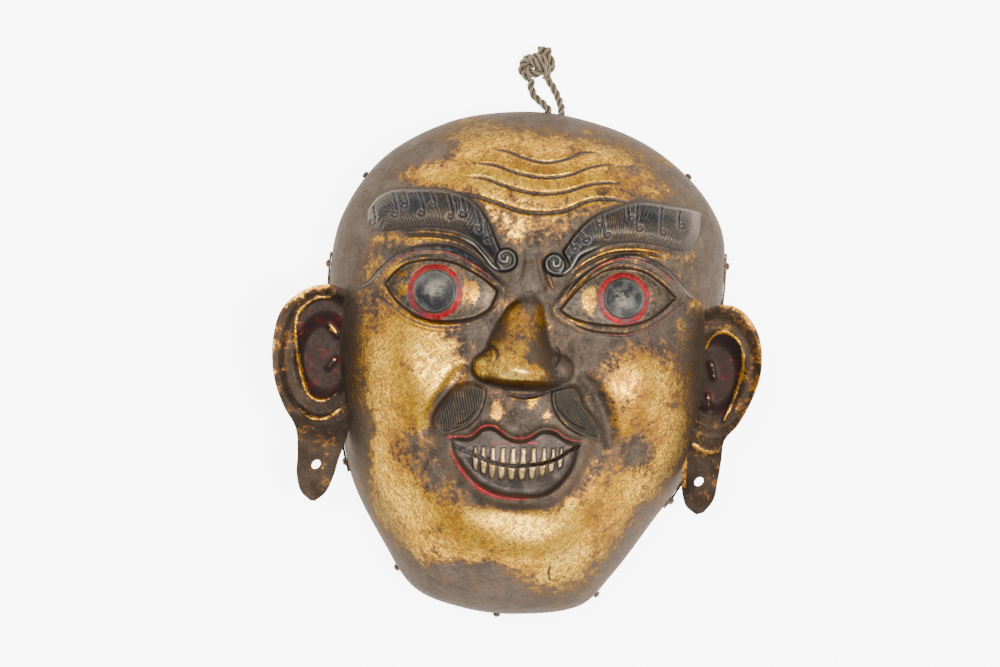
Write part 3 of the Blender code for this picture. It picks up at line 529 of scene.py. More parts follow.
def brow_strokes(x, y, side):
    """The hair of a brow: fine slanted strokes that start at its top edge."""
    line = curve_through(BROW_TOP[side], 36)
    depth, along = distance_to(x, y, line)
    length = float(np.sum(np.hypot(*np.diff(line, axis=0)[:, :2].T)))
    lean = -0.35 if side == "left" else 0.35
    return (along * length + lean * depth) / 1.9 + 0.45 * lumps(x, y, 9.0, 21)


def curl_line(curl, side):
    """The line of one curl of a brow: a stem from the top edge that winds up round its middle."""
    px, py, rx, ry = curl
    wind = 1.0 if side == "left" else -1.0
    points = [(rx, ry), (0.5 * (rx + px) + 1.6 * wind, 0.5 * (ry + py) + 1.0)]
    for k in range(11):
        turn = 0.45 - 0.72 * k
        radius = CURL_RADIUS * (1.0 - 0.062 * k)
        points.append((px + wind * radius * math.cos(turn), py + radius * math.sin(turn)))
    return points


def add_brow(total, x, y, side):
    i = window(x, y, BROW_TOP[side] + BROW_LOW[side] + SPIRAL_LINES[side], 10.0)
    xs, ys = x[i], y[i]
    inside = inside_of(xs, ys, BROW_OUTLINES[side])
    cx, cy, radius = SPIRALS[side]
    away = np.hypot(xs - cx, ys - cy)
    boss = smooth_step(-1.6, 1.6, radius - away)
    plate = smooth_step(-1.4, 1.4, inside)
    below = away_from(xs, ys, BROW_LOW[side], 36)
    part = 4.6 * plate * smooth_step(-3.0, 11.0, below) + 1.2 * smooth_step(0.0, 9.0, inside)
    part = np.maximum(part, 3.6 * boss)
    line, along = distance_to(xs, ys, curve_through(SPIRAL_LINES[side], 90))
    ridge = smooth_step(0.0, 0.25, along)
    part += 1.9 * ridge * bell(line, 1.5)
    hair = np.cos(2.0 * math.pi * brow_strokes(xs, ys, side))
    free = smooth_step(0.5, 2.5, inside) * (1.0 - boss) * smooth_step(1.5, 2.8, line)
    for px, py, _, _ in CURLS[side]:
        free *= smooth_step(2.6, 3.8, np.hypot(xs - px, ys - py))
    part += 0.36 * hair * free * (0.65 + 0.35 * lumps(xs, ys, 5.0, 22))
    for px, py, _, _ in CURLS[side]:
        part += 0.25 * np.exp(-(((xs - px) ** 2 + (ys - py) ** 2) / 9.0))
    total[i] += part
    for curl in CURLS[side]:
        groove(total, x, y, curl_line(curl, side), 0.9, -1.3, 0.05, 44)
    for drop, half_width, height in ((0.0, 1.5, 1.5), (2.6, 1.2, -1.0), (5.0, 1.3, 0.9)):
        groove(total, x, y, [(px, py - drop) for px, py in BROW_FOLDS[side]], half_width, height)


def add_nose(total, x, y):
    i = window(x, y, [(-54, -32), (48, 62)], 4.0)
    xs, ys = x[i], y[i]
    smooth = curve_through(NOSE[::-1], 80)
    order = np.argsort(smooth[:, 0])
    middle, half, height = (np.interp(ys, smooth[order, 0], smooth[order, k]) for k in (1, 2, 3))
    height = np.where((ys > -22.0) & (ys < 56.0), height, 0.0)
    across = np.clip(1.0 - ((xs - middle) / np.maximum(half, 1.0)) ** 2, 0.0, 1.0)
    wings = np.zeros(xs.shape)
    for cx, cy, rx, ry, rise in NOSTRILS:
        reach = ((xs - cx) / rx) ** 2 + ((ys - cy) / ry) ** 2
        wings = np.maximum(wings, rise * np.clip(1.0 - reach**1.2, 0.0, 1.0))
    bridge = np.maximum(height, 0.0) * across**1.15
    soft = 2.0
    both = np.logaddexp(bridge / soft, wings / soft) * soft - soft * math.log(2.0)
    total[i] += np.maximum(both, 0.0)
    for points in WING_CREASES:
        groove(total, x, y, points, 1.5, -2.4, 0.3)
    groove(total, x, y, UNDER_NOSE, 1.3, -1.8, 0.2)
    groove(total, x, y, [(px, py - 3.0) for px, py in UNDER_NOSE[1:-1]], 1.6, 1.0, 0.3)


def tooth_inside(x, y):
    """Distance into the nearest tooth, above nought inside it."""
    slit = curve_through(SLIT, 40)
    middle = np.interp(x, slit[:, 0], slit[:, 1])
    top = np.interp(x, *np.array(TEETH_TOP).T)
    bottom = np.interp(x, *np.array(TEETH_BOTTOM).T)
    best = np.full(x.shape, -9.0)
    for cx in TEETH_UP:
        down = (top - y) / (top - middle)
        half = 2.0 + 0.8 * smooth_step(0.45, 1.0, down) - 0.018 * abs(cx + 4.0)
        best = np.maximum(best, np.minimum(np.minimum(half - np.abs(x - cx), top - y), y - middle - 1.0))
    for cx in TEETH_LOW:
        down = np.clip((middle - y) / (middle - bottom), 0.0, 1.0)
        half = 2.9 - 0.9 * down**2 - 0.015 * abs(cx + 4.0)
        end = half - np.hypot(x - cx, np.maximum(bottom + half - y, 0.0))
        best = np.maximum(best, np.minimum(end, middle - 1.0 - y))
    return best


def add_mouth(total, x, y):
    i = window(x, y, UPPER_LIP + LOWER_LIP, 16.0)
    xs, ys = x[i], y[i]
    inside = inside_of(xs, ys, MOUTH_OUTLINE)
    to_upper = away_from(xs, ys, UPPER_LIP, 48)
    to_lower = away_from(xs, ys, LOWER_LIP, 48)
    upper_lip = 2.6 * bell(to_upper - 0.5, 2.6)
    lower_lip = 4.6 * bell(to_lower - 1.2, 4.4)
    opening = smooth_step(0.0, 5.0, inside)
    to_slit = away_from(xs, ys, SLIT, 30)
    part = np.maximum(upper_lip, lower_lip) - 4.6 * opening
    part += 3.0 * bell(to_slit, 12.0) * opening
    part += 1.7 * smooth_step(-0.9, 1.3, tooth_inside(xs, ys)) * opening
    part -= 1.2 * bell(to_slit, 1.6) * opening
    total[i] += part
    groove(total, x, y, UPPER_LIP, 1.0, 1.0, 0.05, 48)
    groove(total, x, y, [(px, py - 4.2) for px, py in UPPER_LIP[2:-1]], 1.1, -0.8)
    groove(total, x, y, LIP_BAND, 2.4, 1.1, 0.2, 48)
    groove(total, x, y, GUM, 1.2, 0.6)


def add_tuft(total, x, y, side):
    edge, _ = TUFTS[side]
    i = window(x, y, TUFT_OUTLINES[side].tolist(), 8.0)
    xs, ys = x[i], y[i]
    inside = inside_of(xs, ys, TUFT_OUTLINES[side])
    lean = 0.20 if side == "left" else -0.50
    hair = np.cos(2.0 * math.pi * ((xs + lean * ys) / 2.0 + 0.25 * lumps(xs, ys, 8.0, 23)))
    part = 3.4 * smooth_step(-2.4, 3.4, inside) + 0.30 * hair * smooth_step(0.8, 3.4, inside)
    total[i] += part
    groove(total, x, y, edge, 1.1, 1.3, 0.06)
    groove(total, x, y, [(px * 1.03, py + 3.4) for px, py in edge[2:-1]], 0.8, -0.9, 0.2)


def relief(x, y, share):
    """Everything that stands on the plain dome, fading out towards the side wall."""
    total = soft_spots(x, y, SWELLINGS)
    for side in EYES:
        add_eye(total, x, y, side)
        add_brow(total, x, y, side)
        add_tuft(total, x, y, side)
    for points in FOREHEAD_GROOVES:
        groove(total, x, y, points, 1.5, -2.2, 0.16)
    for points, half_width, height in FOLDS:
        groove(total, x, y, points, half_width, height)
    add_nose(total, x, y)
    add_mouth(total, x, y)
    fade = 1.0 - smooth_step(0.86, 0.985, share)
    dents = 0.30 * lumps(x, y, 17.0, 5) + 0.13 * lumps(x, y, 7.0, 6)
    return total * fade + dents * (1.0 - smooth_step(0.97, 0.995, share))


def relief_around(x, y, share, reach):
    """The relief a little way off, on eight sides of each point."""
    turns = np.arange(8) * math.pi / 4.0
    return np.stack([relief(x + reach * math.cos(t), y + reach * math.sin(t), share) for t in turns])


def disc_grid(cells):
    across = np.linspace(-1.0, 1.0, cells[0] + 1)
    along = np.linspace(-1.0, 1.0, cells[1] + 1)
    across, along = [0.7 * v + 0.3 * v**3 for v in (across, along)]
    u, v = np.meshgrid(across, along)
    p = u * np.sqrt(1.0 - v * v / 2.0)
    q = v * np.sqrt(1.0 - u * u / 2.0)
    return np.hypot(p, q), np.arctan2(q, p)


def sheet_places(cells):
    """Places of a grid over the face on the drawing: x, y, share of the way to the rim, compass angle."""
    share_along_sheet, angle = disc_grid(cells)
    radius = rim_radius(angle)
    table = np.linspace(0.0, 1.0, 400) ** 0.5
    mean_radius = float(np.mean(rim_radius(np.linspace(-math.pi, math.pi, 72))))
    path = np.hypot(np.diff(table) * mean_radius, np.diff(dome(table)))
    length = np.concatenate([[0.0], np.cumsum(path)])
    share = np.interp(share_along_sheet, length / length[-1], table)
    return share * radius * np.cos(angle), share * radius * np.sin(angle), share, angle


def outside_points(cells, detail=True):
    """The outside of the face as a grid of points in metres, down to the rim."""
    x, y, share, _ = sheet_places(cells)
    z = dome(share)
    if detail:
        z = z + relief(x.ravel(), y.ravel(), share.ravel()).reshape(x.shape)
    return np.stack([x, y, z], axis=2) * UNIT


def inside_points(cells):
    """The inside of the sheet, its thickness in from the outside and a little softer than it."""
    x, y, share, angle = sheet_places(cells)
    soft = relief_around(x.ravel(), y.ravel(), share.ravel(), 1000.0 * SHEET).min(axis=0)
    radius = rim_radius(angle)
    bend = (rim_radius(angle + 0.01) - rim_radius(angle - 0.01)) / 0.02 / radius
    lean = DEPTH * 1.5 * share**2 / radius
    across = lean * (np.cos(angle) + bend * np.sin(angle))
    along = lean * (np.sin(angle) - bend * np.cos(angle))
    normal = np.stack([across, along, np.sqrt(1.0 - share**3)], axis=2)
    normal /= np.linalg.norm(normal, axis=2)[:, :, None]
    return np.stack([x, y, dome(share) + soft.reshape(x.shape)], axis=2) * UNIT - SHEET * normal


def grid_mesh(name, points):
    rows, columns = points.shape[:2]
    index = np.arange(rows * columns, dtype=np.int32).reshape(rows, columns)
    corners = [index[:-1, :-1], index[:-1, 1:], index[1:, 1:], index[1:, :-1]]
    faces = np.stack(corners, axis=2).reshape(-1)
    mesh = bpy.data.meshes.new(name)
    mesh.vertices.add(rows * columns)
    mesh.vertices.foreach_set("co", points.reshape(-1).astype(np.float32))
    mesh.loops.add(len(faces))
    mesh.loops.foreach_set("vertex_index", faces)
    mesh.polygons.add(len(faces) // 4)
    mesh.polygons.foreach_set("loop_start", np.arange(0, len(faces), 4, dtype=np.int32))
    mesh.update(calc_edges=True)
    return mesh


def evaluated(thing, name):
    """The mesh of a thing with its modifiers applied; the thing itself goes."""
    graph = bpy.context.evaluated_depsgraph_get()
    mesh = bpy.data.meshes.new_from_object(thing.evaluated_get(graph))
    mesh.name = name
    bpy.data.objects.remove(thing, do_unlink=True)
    return mesh


def placed(name, mesh):
    thing = bpy.data.objects.new(name, mesh)
    bpy.context.collection.objects.link(thing)
    return thing


def thinned(name, mesh, triangles):
    full_sheet = placed(name + "_full", mesh)
    thin = full_sheet.modifiers.new("thin", "DECIMATE")
    thin.ratio = triangles / (2.0 * len(mesh.polygons))
    return evaluated(full_sheet, name)


def merged(name, parts):
    """One mesh from several, with their attributes."""
    things = [placed(f"{name}_{number}", part) for number, part in enumerate(parts)]
    bpy.context.view_layer.update()
    with bpy.context.temp_override(active_object=things[0], selected_editable_objects=things):
        bpy.ops.object.join()
    mesh = things[0].data
    bpy.data.objects.remove(things[0], do_unlink=True)
    mesh.name = name
    return mesh


def cut_by(thing, cutters):
    for cutter in cutters:
        cut = thing.modifiers.new("cut", "BOOLEAN")
        cut.operation = "DIFFERENCE"
        cut.solver = "EXACT"
        cut.object = cutter


def body_mesh(name, body):
    mesh = bpy.data.meshes.new(name)
    bmesh.ops.recalc_face_normals(body, faces=body.faces)
    body.to_mesh(mesh)
    body.free()
    return mesh


def add_box(body, low, high):
    made = bmesh.ops.create_cube(body, size=1.0)["verts"]
    low, high = Vector(low), Vector(high)
    for corner in made:
        corner.co = (low + high) / 2 + Vector(a * b for a, b in zip(corner.co, high - low))


def add_turned(body, profile, sides, origin, axis, stretch=(1.0, 1.0)):
    """Adds a solid of revolution; the profile gives radius and distance along the axis."""
    across = axis.orthogonal().normalized()
    other = axis.cross(across).normalized()
    rings = []
    for radius, distance in profile:
        middle = origin + axis * distance
        if radius == 0.0:
            rings.append([body.verts.new(middle)])
            continue
        rings.append([
            body.verts.new(
                middle + across * (math.cos(2.0 * math.pi * k / sides) * radius * stretch[0])
                + other * (math.sin(2.0 * math.pi * k / sides) * radius * stretch[1])
            )
            for k in range(sides)
        ])
    for first, second in zip(rings, rings[1:]):
        for k in range(sides):
            m = (k + 1) % sides
            corners = [first[i % len(first)] for i in (k, m)] + [second[i % len(second)] for i in (m, k)]
            body.faces.new(list(dict.fromkeys(corners)))


def rod_profile(radius, half_length):
    return [(0.0, -half_length), (radius, -half_length), (radius, half_length), (0.0, half_length)]


def add_prism(body, line, half, low, high):
    """Adds an upright wall of even thickness that follows a drawn line."""
    ahead = np.gradient(line[:, :2], axis=0)
    rows = []
    for place, step in zip(line[:, :2] * UNIT, ahead):
        side = np.array([-step[1], step[0]]) / np.hypot(*step) * half
        corners = [(place + side, low), (place + side, high), (place - side, high), (place - side, low)]
        rows.append([body.verts.new((p[0], p[1], z)) for p, z in corners])
    for first, second in zip(rows, rows[1:]):
        for k in range(4):
            body.faces.new([first[k], first[(k + 1) % 4], second[(k + 1) % 4], second[k]])
    body.faces.new(rows[0])
    body.faces.new(rows[-1][::-1])


def wall_point(degrees, level):
    """A point of the plain side wall, in metres, and the way out of it."""
    def at(turn):
        share = (1.0 - (level / UNIT / DEPTH) ** 2) ** (1.0 / 3.0)
        radius = float(rim_radius(np.array([turn]))[0]) * share * UNIT
        return Vector((radius * math.cos(turn), radius * math.sin(turn), level))
    turn = math.radians(degrees)
    along = (at(turn + 0.03) - at(turn - 0.03)).normalized()
    return at(turn), Vector((along.y, -along.x, 0.0))


class Finish:
    """A procedural material: short names for the nodes that it is made of."""

    def __init__(self, name):
        self.material = bpy.data.materials.new(name)
        self.material.use_nodes = True
        self.tree = self.material.node_tree
        self.shader = self.tree.nodes["Principled BSDF"]
        self.where = self.tree.nodes.new("ShaderNodeTexCoord").outputs["Object"]

    def plug(self, socket, value):
        if isinstance(value, bpy.types.NodeSocket):
            self.tree.links.new(value, socket)
        elif isinstance(value, tuple) and len(value) == 3 and socket.type == "RGBA":
            socket.default_value = (*value, 1.0)
        else:
            socket.default_value = value

    def sum(self, kind, first, second=0.0, third=None):
        node = self.tree.nodes.new("ShaderNodeMath")
        node.operation = kind
        self.plug(node.inputs[0], first)
        self.plug(node.inputs[1], second)
        if third is not None:
            self.plug(node.inputs[2], third)
        return node.outputs[0]

    def times(self, first, second):
        return self.sum("MULTIPLY", first, second)

    def plus(self, first, second):
        return self.sum("ADD", first, second)

    def swing(self, noise, amount, middle=0.5):
        return self.times(self.plus(noise, -middle), amount)

    def attribute(self, name):
        node = self.tree.nodes.new("ShaderNodeAttribute")
        node.attribute_name = name
        return node.outputs["Fac"]

    def noise(self, scale, detail=4.0, rough=0.55, stretch=None, warp=0.0, where=None, turn=0.0):
        node = self.tree.nodes.new("ShaderNodeTexNoise")
        node.inputs["Scale"].default_value = scale
        node.inputs["Detail"].default_value = detail
        node.inputs["Roughness"].default_value = rough
        node.inputs["Distortion"].default_value = warp
        source = where or self.where
        if stretch:
            mapping = self.tree.nodes.new("ShaderNodeMapping")
            mapping.vector_type = "TEXTURE"
            mapping.inputs["Rotation"].default_value = (0.0, 0.0, turn)
            mapping.inputs["Scale"].default_value = [1.0 / value for value in stretch]
            self.tree.links.new(source, mapping.inputs["Vector"])
            source = mapping.outputs["Vector"]
        self.tree.links.new(source, node.inputs["Vector"])
        return node.outputs["Fac"]

    def spots(self, scale, where=None):
        node = self.tree.nodes.new("ShaderNodeTexVoronoi")
        node.inputs["Scale"].default_value = scale
        self.tree.links.new(where or self.where, node.inputs["Vector"])
        return node.outputs["Distance"]

    def step(self, value, low, high, start=0.0, end=1.0):
        node = self.tree.nodes.new("ShaderNodeMapRange")
        node.interpolation_type = "SMOOTHSTEP"
        self.plug(node.inputs["Value"], value)
        node.inputs["From Min"].default_value = low
        node.inputs["From Max"].default_value = high
        node.inputs["To Min"].default_value = start
        node.inputs["To Max"].default_value = end
        return node.outputs["Result"]

    def mix(self, share, first, second):
        node = self.tree.nodes.new("ShaderNodeMix")
        node.data_type = "RGBA"
        self.plug(node.inputs[0], share)
        self.plug(node.inputs[6], first)
        self.plug(node.inputs[7], second)
        return node.outputs[2]

    def tints(self, colour, *rows):
        """A colour with others laid over it, each where its noise is high enough."""
        for noise, low, high, tint in rows:
            colour = self.mix(self.step(noise, low, high), colour, tint)
        return colour

    def blend(self, share, first, second):
        node = self.tree.nodes.new("ShaderNodeMix")
        self.plug(node.inputs[0], share)
        self.plug(node.inputs[2], first)
        self.plug(node.inputs[3], second)
        return node.outputs[0]

    def done(self, colour, rough, metal=0.0, height=None, depth=0.001):
        self.plug(self.shader.inputs["Base Color"], colour)
        self.plug(self.shader.inputs["Roughness"], rough)
        self.plug(self.shader.inputs["Metallic"], metal)
        if height is not None:
            bump = self.tree.nodes.new("ShaderNodeBump")
            bump.inputs["Distance"].default_value = depth
            bump.inputs["Strength"].default_value = 1.0
            self.plug(bump.inputs["Height"], height)
            self.plug(self.shader.inputs["Normal"], bump.outputs["Normal"])
        return self.material


def gilt_layers(f, gild, cavity):
    """Colour, roughness, metal and height of copper whose gilding is worn through in places, with painted
    highlights and some painted shade in the colour.
    """
    broad = f.noise(14.0, 8.0, 0.62, warp=0.6)
    patch = f.noise(55.0, 8.0, 0.68, warp=0.3)
    streak = f.noise(70.0, 6.0, 0.6, stretch=(1.0, 0.28, 1.0), warp=0.5)
    fleck = f.noise(300.0, 6.0, 0.68)
    grain = f.noise(1000.0, 3.0, 0.6)
    hatch = f.sum(
        "MAXIMUM", f.noise(620.0, 3.0, 0.6, (1.0, 0.2, 1.0), 0.4, turn=0.6),
        f.noise(560.0, 3.0, 0.6, (1.0, 0.2, 1.0), 0.4, turn=-0.9),
    )
    strewn = f.noise(125.0, 6.0, 0.64, warp=0.8)
    worn = f.sum("MINIMUM", gild, 0.9)
    swings = ((broad, 2.4), (patch, 2.0), (strewn, 1.7), (streak, 0.7), (fleck, 1.7), (grain, 1.3))
    for noise, amount in swings:
        worn = f.plus(worn, f.swing(noise, amount))
    worn = f.plus(worn, f.times(cavity, 0.35))
    copper = f.step(worn, 0.12, 0.52)
    gold = f.step(worn, 0.44, 0.66)
    grey = f.tints(
        (0.026, 0.019, 0.013), (patch, 0.36, 0.64, (0.088, 0.067, 0.048)),
        (streak, 0.48, 0.66, (0.110, 0.064, 0.034)), (fleck, 0.50, 0.62, (0.062, 0.051, 0.047)),
        (grain, 0.53, 0.66, (0.019, 0.014, 0.011)),
    )
    # The side wall is a paler grey: dust, and partly a painted reflection of the bright floor
    side = f.attribute("side")
    grey = f.mix(side, grey, f.tints((0.085, 0.062, 0.045), (patch, 0.35, 0.65, (0.210, 0.165, 0.130))))
    orange = f.tints(
        (0.150, 0.072, 0.026), (fleck, 0.38, 0.62, (0.420, 0.180, 0.030)),
        (grain, 0.54, 0.66, (0.080, 0.048, 0.036)),
    )
    tone = f.plus(f.times(broad, 0.55), f.plus(f.times(patch, 0.3), f.times(streak, 0.15)))
    yellow = f.tints(
        (0.480, 0.200, 0.008), (tone, 0.455, 0.505, (0.860, 0.450, 0.018)),
        (tone, 0.52, 0.57, (1.000, 0.600, 0.055)),
    )
    # Fine scratches in the gold: dark strokes, and bright strokes that are also painted glints
    yellow = f.mix(f.step(hatch, 0.58, 0.50, 0.0, 0.85), yellow, (0.330, 0.145, 0.014))
    yellow = f.mix(f.step(hatch, 0.60, 0.70, 0.0, 0.6), yellow, (1.000, 0.720, 0.140))
    # Paler, smoother gold on the rubbed high points, which is also a painted highlight there
    rubbed_and_highlight = f.plus(f.swing(patch, 1.6), f.swing(hatch, 2.6, 0.56))
    rubbed_and_highlight = f.step(f.plus(f.attribute("rubbed_gold_and_highlight"), rubbed_and_highlight), 0.35, 0.95)
    yellow = f.mix(rubbed_and_highlight, yellow, (1.000, 0.640, 0.105))
    yellow = f.mix(f.times(f.step(grain, 0.52, 0.60), 0.75), yellow, (0.200, 0.090, 0.022))
    yellow = f.mix(f.times(f.step(fleck, 0.56, 0.64), 0.8), yellow, (0.100, 0.062, 0.050))
    colour = f.mix(copper, grey, orange)
    colour = f.mix(gold, colour, yellow)
    pits = f.step(f.plus(f.spots(150.0), f.swing(patch, 0.5)), 0.10, 0.17)
    colour = f.mix(f.times(f.sum("SUBTRACT", 1.0, pits), 0.7), colour, (0.060, 0.042, 0.036))
    # Darker in the hollows and fine crevices of the relief: dark patina there, and partly painted shade
    colour = f.mix(f.times(f.step(f.attribute("hollow"), -0.3, -3.2), 0.65), colour, (0.060, 0.045, 0.036))
    colour = f.mix(f.times(f.step(cavity, -0.10, -0.8), 0.8), colour, (0.034, 0.026, 0.022))
    rough = f.blend(gold, f.step(fleck, 0.3, 0.7, 0.44, 0.62), f.step(grain, 0.3, 0.7, 0.24, 0.42))
    rough = f.plus(rough, f.times(rubbed_and_highlight, -0.06))
    rough = f.blend(side, rough, 0.72)
    f.plug(f.shader.inputs["Specular IOR Level"], f.blend(side, 0.22, 0.08))
    metal = f.times(f.blend(copper, 0.4, 0.95), f.blend(side, 1.0, 0.5))
    rough = f.plus(rough, f.step(hatch, 0.64, 0.50, 0.0, 0.14))
    height = f.plus(f.times(worn, 0.10), f.plus(f.times(grain, 0.16), f.times(pits, 0.30)))
    height = f.plus(height, f.times(hatch, 0.25))
    return colour, rough, metal, height, (broad, patch, fleck, grain)


def face_finish():
    f = Finish("worn_gilt_copper_painted")
    cavity = f.attribute("cavity")
    colour, rough, metal, height, noises = gilt_layers(f, f.attribute("gild"), cavity)
    broad, patch, fleck, grain = noises
    ragged = f.swing(fleck, 2.2)
    # high: the ridges of the fine relief, where the paints below get a painted highlight
    high = f.step(cavity, -0.1, 0.7)

    def layer(share, tint, rough_now, metal_now):
        nonlocal colour, rough, metal
        colour = f.mix(share, colour, tint)
        rough = f.blend(share, rough, rough_now)
        metal = f.blend(share, metal, metal_now)

    def area(name, low=-0.6, high_edge=0.6):
        return f.step(f.plus(f.attribute(name), ragged), low, high_edge)

    # Less painted highlight on the raised edges of the plates
    high = f.times(high, f.step(f.attribute("hollow"), 2.6, 0.8, 0.35, 1.0))
    # Brow hair, dark above and warm below, with a painted highlight on its ridges
    hair = f.mix(high, (0.010, 0.011, 0.013), (0.100, 0.104, 0.108))
    warm = f.mix(high, (0.040, 0.033, 0.026), (0.125, 0.104, 0.082))
    lower = f.step(f.plus(f.attribute("brow_depth"), f.swing(patch, 30.0)), 12.0, 20.0)
    hair = f.mix(lower, hair, warm)
    hair = f.mix(f.step(f.attribute("brow"), 2.2, 0.8), hair, (0.030, 0.028, 0.026))
    layer(f.times(area("brow", -0.8, 0.8), 0.94), hair, 0.36, 0.45)
    # Tufts with a painted highlight on their ridges
    tuft = f.mix(high, (0.008, 0.008, 0.007), (0.046, 0.042, 0.037))
    layer(f.times(area("tuft", -1.6, 1.6), 0.92), tuft, 0.42, 0.3)
    # Spirals dark in their grooves, with a painted highlight on their ridges
    pale = f.mix(high, (0.030, 0.029, 0.024), (0.200, 0.196, 0.165))
    layer(f.step(f.plus(f.attribute("spiral"), f.times(ragged, 0.4)), -0.6, 0.8), pale, 0.45, 0.4)
    blue = f.tints((0.008, 0.011, 0.015), (fleck, 0.4, 0.65, (0.036, 0.040, 0.042)))
    layer(f.times(area("band"), f.step(patch, 0.72, 0.50, 0.6, 1.0)), blue, 0.4, 0.3)
    mauve = f.tints(
        (0.036, 0.029, 0.022), (fleck, 0.35, 0.65, (0.096, 0.076, 0.054)),
        (patch, 0.52, 0.66, (0.220, 0.112, 0.050)),
    )
    gilt = f.plus(f.attribute("gild"), f.plus(f.swing(fleck, 2.6), f.swing(patch, 2.6)))
    layer(f.times(f.step(f.attribute("almond"), -0.5, 1.5), f.step(gilt, 0.72, 0.45)), mauve, 0.42, 0.4)
    from_pupil = f.plus(f.attribute("pupil"), f.swing(fleck, 0.05))
    ring = f.times(f.step(from_pupil, 1.07, 1.11), f.step(from_pupil, 1.40, 1.34))
    vivid = f.tints((0.130, 0.005, 0.008), (fleck, 0.35, 0.65, (0.320, 0.012, 0.017)))
    faded = f.tints(
        (0.070, 0.036, 0.036), (fleck, 0.4, 0.6, (0.150, 0.036, 0.042)),
        (f.plus(broad, f.times(patch, 0.8)), 0.82, 0.90, vivid),
    )
    layer(f.times(ring, f.step(patch, 0.68, 0.56, 0.45, 1.0)), faded, 0.36, 0.15)
    iris = f.tints((0.014, 0.016, 0.019), (patch, 0.40, 0.60, (0.055, 0.055, 0.052)))
    clouded = f.times(f.step(from_pupil, 0.80, 0.15), f.step(f.plus(patch, f.times(fleck, 0.4)), 0.58, 0.78))
    iris = f.mix(clouded, iris, f.tints((0.120, 0.108, 0.080), (grain, 0.4, 0.6, (0.190, 0.172, 0.126))))
    edge_of_iris = f.times(f.step(from_pupil, 0.93, 0.99), f.step(patch, 0.35, 0.6, 0.35, 0.9))
    iris = f.mix(edge_of_iris, iris, (0.150, 0.150, 0.140))
    layer(f.step(from_pupil, 1.09, 1.04), iris, 0.38, 0.3)
    # Inside of the mouth with a painted highlight on its ridges
    dark = f.mix(high, (0.030, 0.025, 0.022), (0.110, 0.098, 0.086))
    dark = f.tints(dark, (patch, 0.42, 0.62, (0.080, 0.062, 0.052)))
    layer(f.step(f.attribute("mouth"), 0.4, 2.0), dark, 0.40, 0.3)
    gum = f.times(f.step(f.attribute("gum"), -0.4, 0.8), f.step(patch, 0.6, 0.45, 0.3, 1.0))
    layer(gum, (0.170, 0.036, 0.042), 0.45, 0.2)
    ivory = f.tints(
        (0.250, 0.130, 0.048), (fleck, 0.35, 0.65, (0.740, 0.500, 0.220)),
        (patch, 0.58, 0.70, (0.300, 0.180, 0.100)),
    )
    layer(f.step(f.plus(f.attribute("teeth"), f.times(ragged, 0.25)), -0.3, 0.7), ivory, 0.32, 0.6)
    worn_red = f.step(f.plus(patch, f.times(fleck, 0.5)), 0.86, 0.74, 0.15, 1.0)
    red = f.tints((0.085, 0.007, 0.010), (fleck, 0.35, 0.6, (0.280, 0.010, 0.015)))
    # Pinkish painted highlight on the ridges of the red
    red = f.mix(f.step(high, 0.75, 1.0, 0.0, 0.35), red, (0.420, 0.170, 0.150))
    painted = f.step(f.plus(f.attribute("red"), f.times(ragged, 0.6)), -0.4, 0.5)
    layer(f.times(painted, worn_red), red, 0.34, 0.1)
    # Dark lines along the grooves, creases and steps: dark patina there, and partly painted shade
    line = f.tints((0.028, 0.022, 0.022), (fleck, 0.4, 0.6, (0.080, 0.060, 0.052)))
    layer(f.times(f.step(f.attribute("crease_patina_and_shade"), -0.5, 0.6), 0.88), line, 0.5, 0.3)
    f.shader.inputs["Specular Tint"].default_value = (0.80, 0.60, 0.42, 1.0)
    # Painted shade: steep slopes are darkened, most of all on the brows
    shade = f.mix(area("brow", -1.6, 0.4), (0.033, 0.022, 0.014), (0.007, 0.007, 0.008))
    colour = f.mix(f.times(f.attribute("edge"), 0.84), colour, shade)
    height = f.plus(height, f.times(f.step(f.attribute("brow"), 0.0, 1.5), f.times(fleck, 0.25)))
    return f.done(colour, rough, metal, height, 0.0006)


def inside_finish():
    f = Finish("dark_copper_inside")
    broad, patch, fleck = f.noise(14.0, 6.0), f.noise(70.0, 6.0), f.noise(400.0, 4.0)
    colour = f.tints(
        (0.045, 0.030, 0.022), (broad, 0.35, 0.65, (0.120, 0.070, 0.042)),
        (patch, 0.58, 0.75, (0.070, 0.085, 0.065)), (fleck, 0.6, 0.75, (0.022, 0.017, 0.014)),
    )
    height = f.plus(patch, f.times(fleck, 0.4))
    return f.done(colour, f.step(patch, 0.3, 0.7, 0.5, 0.72), 0.55, height, 0.0008)


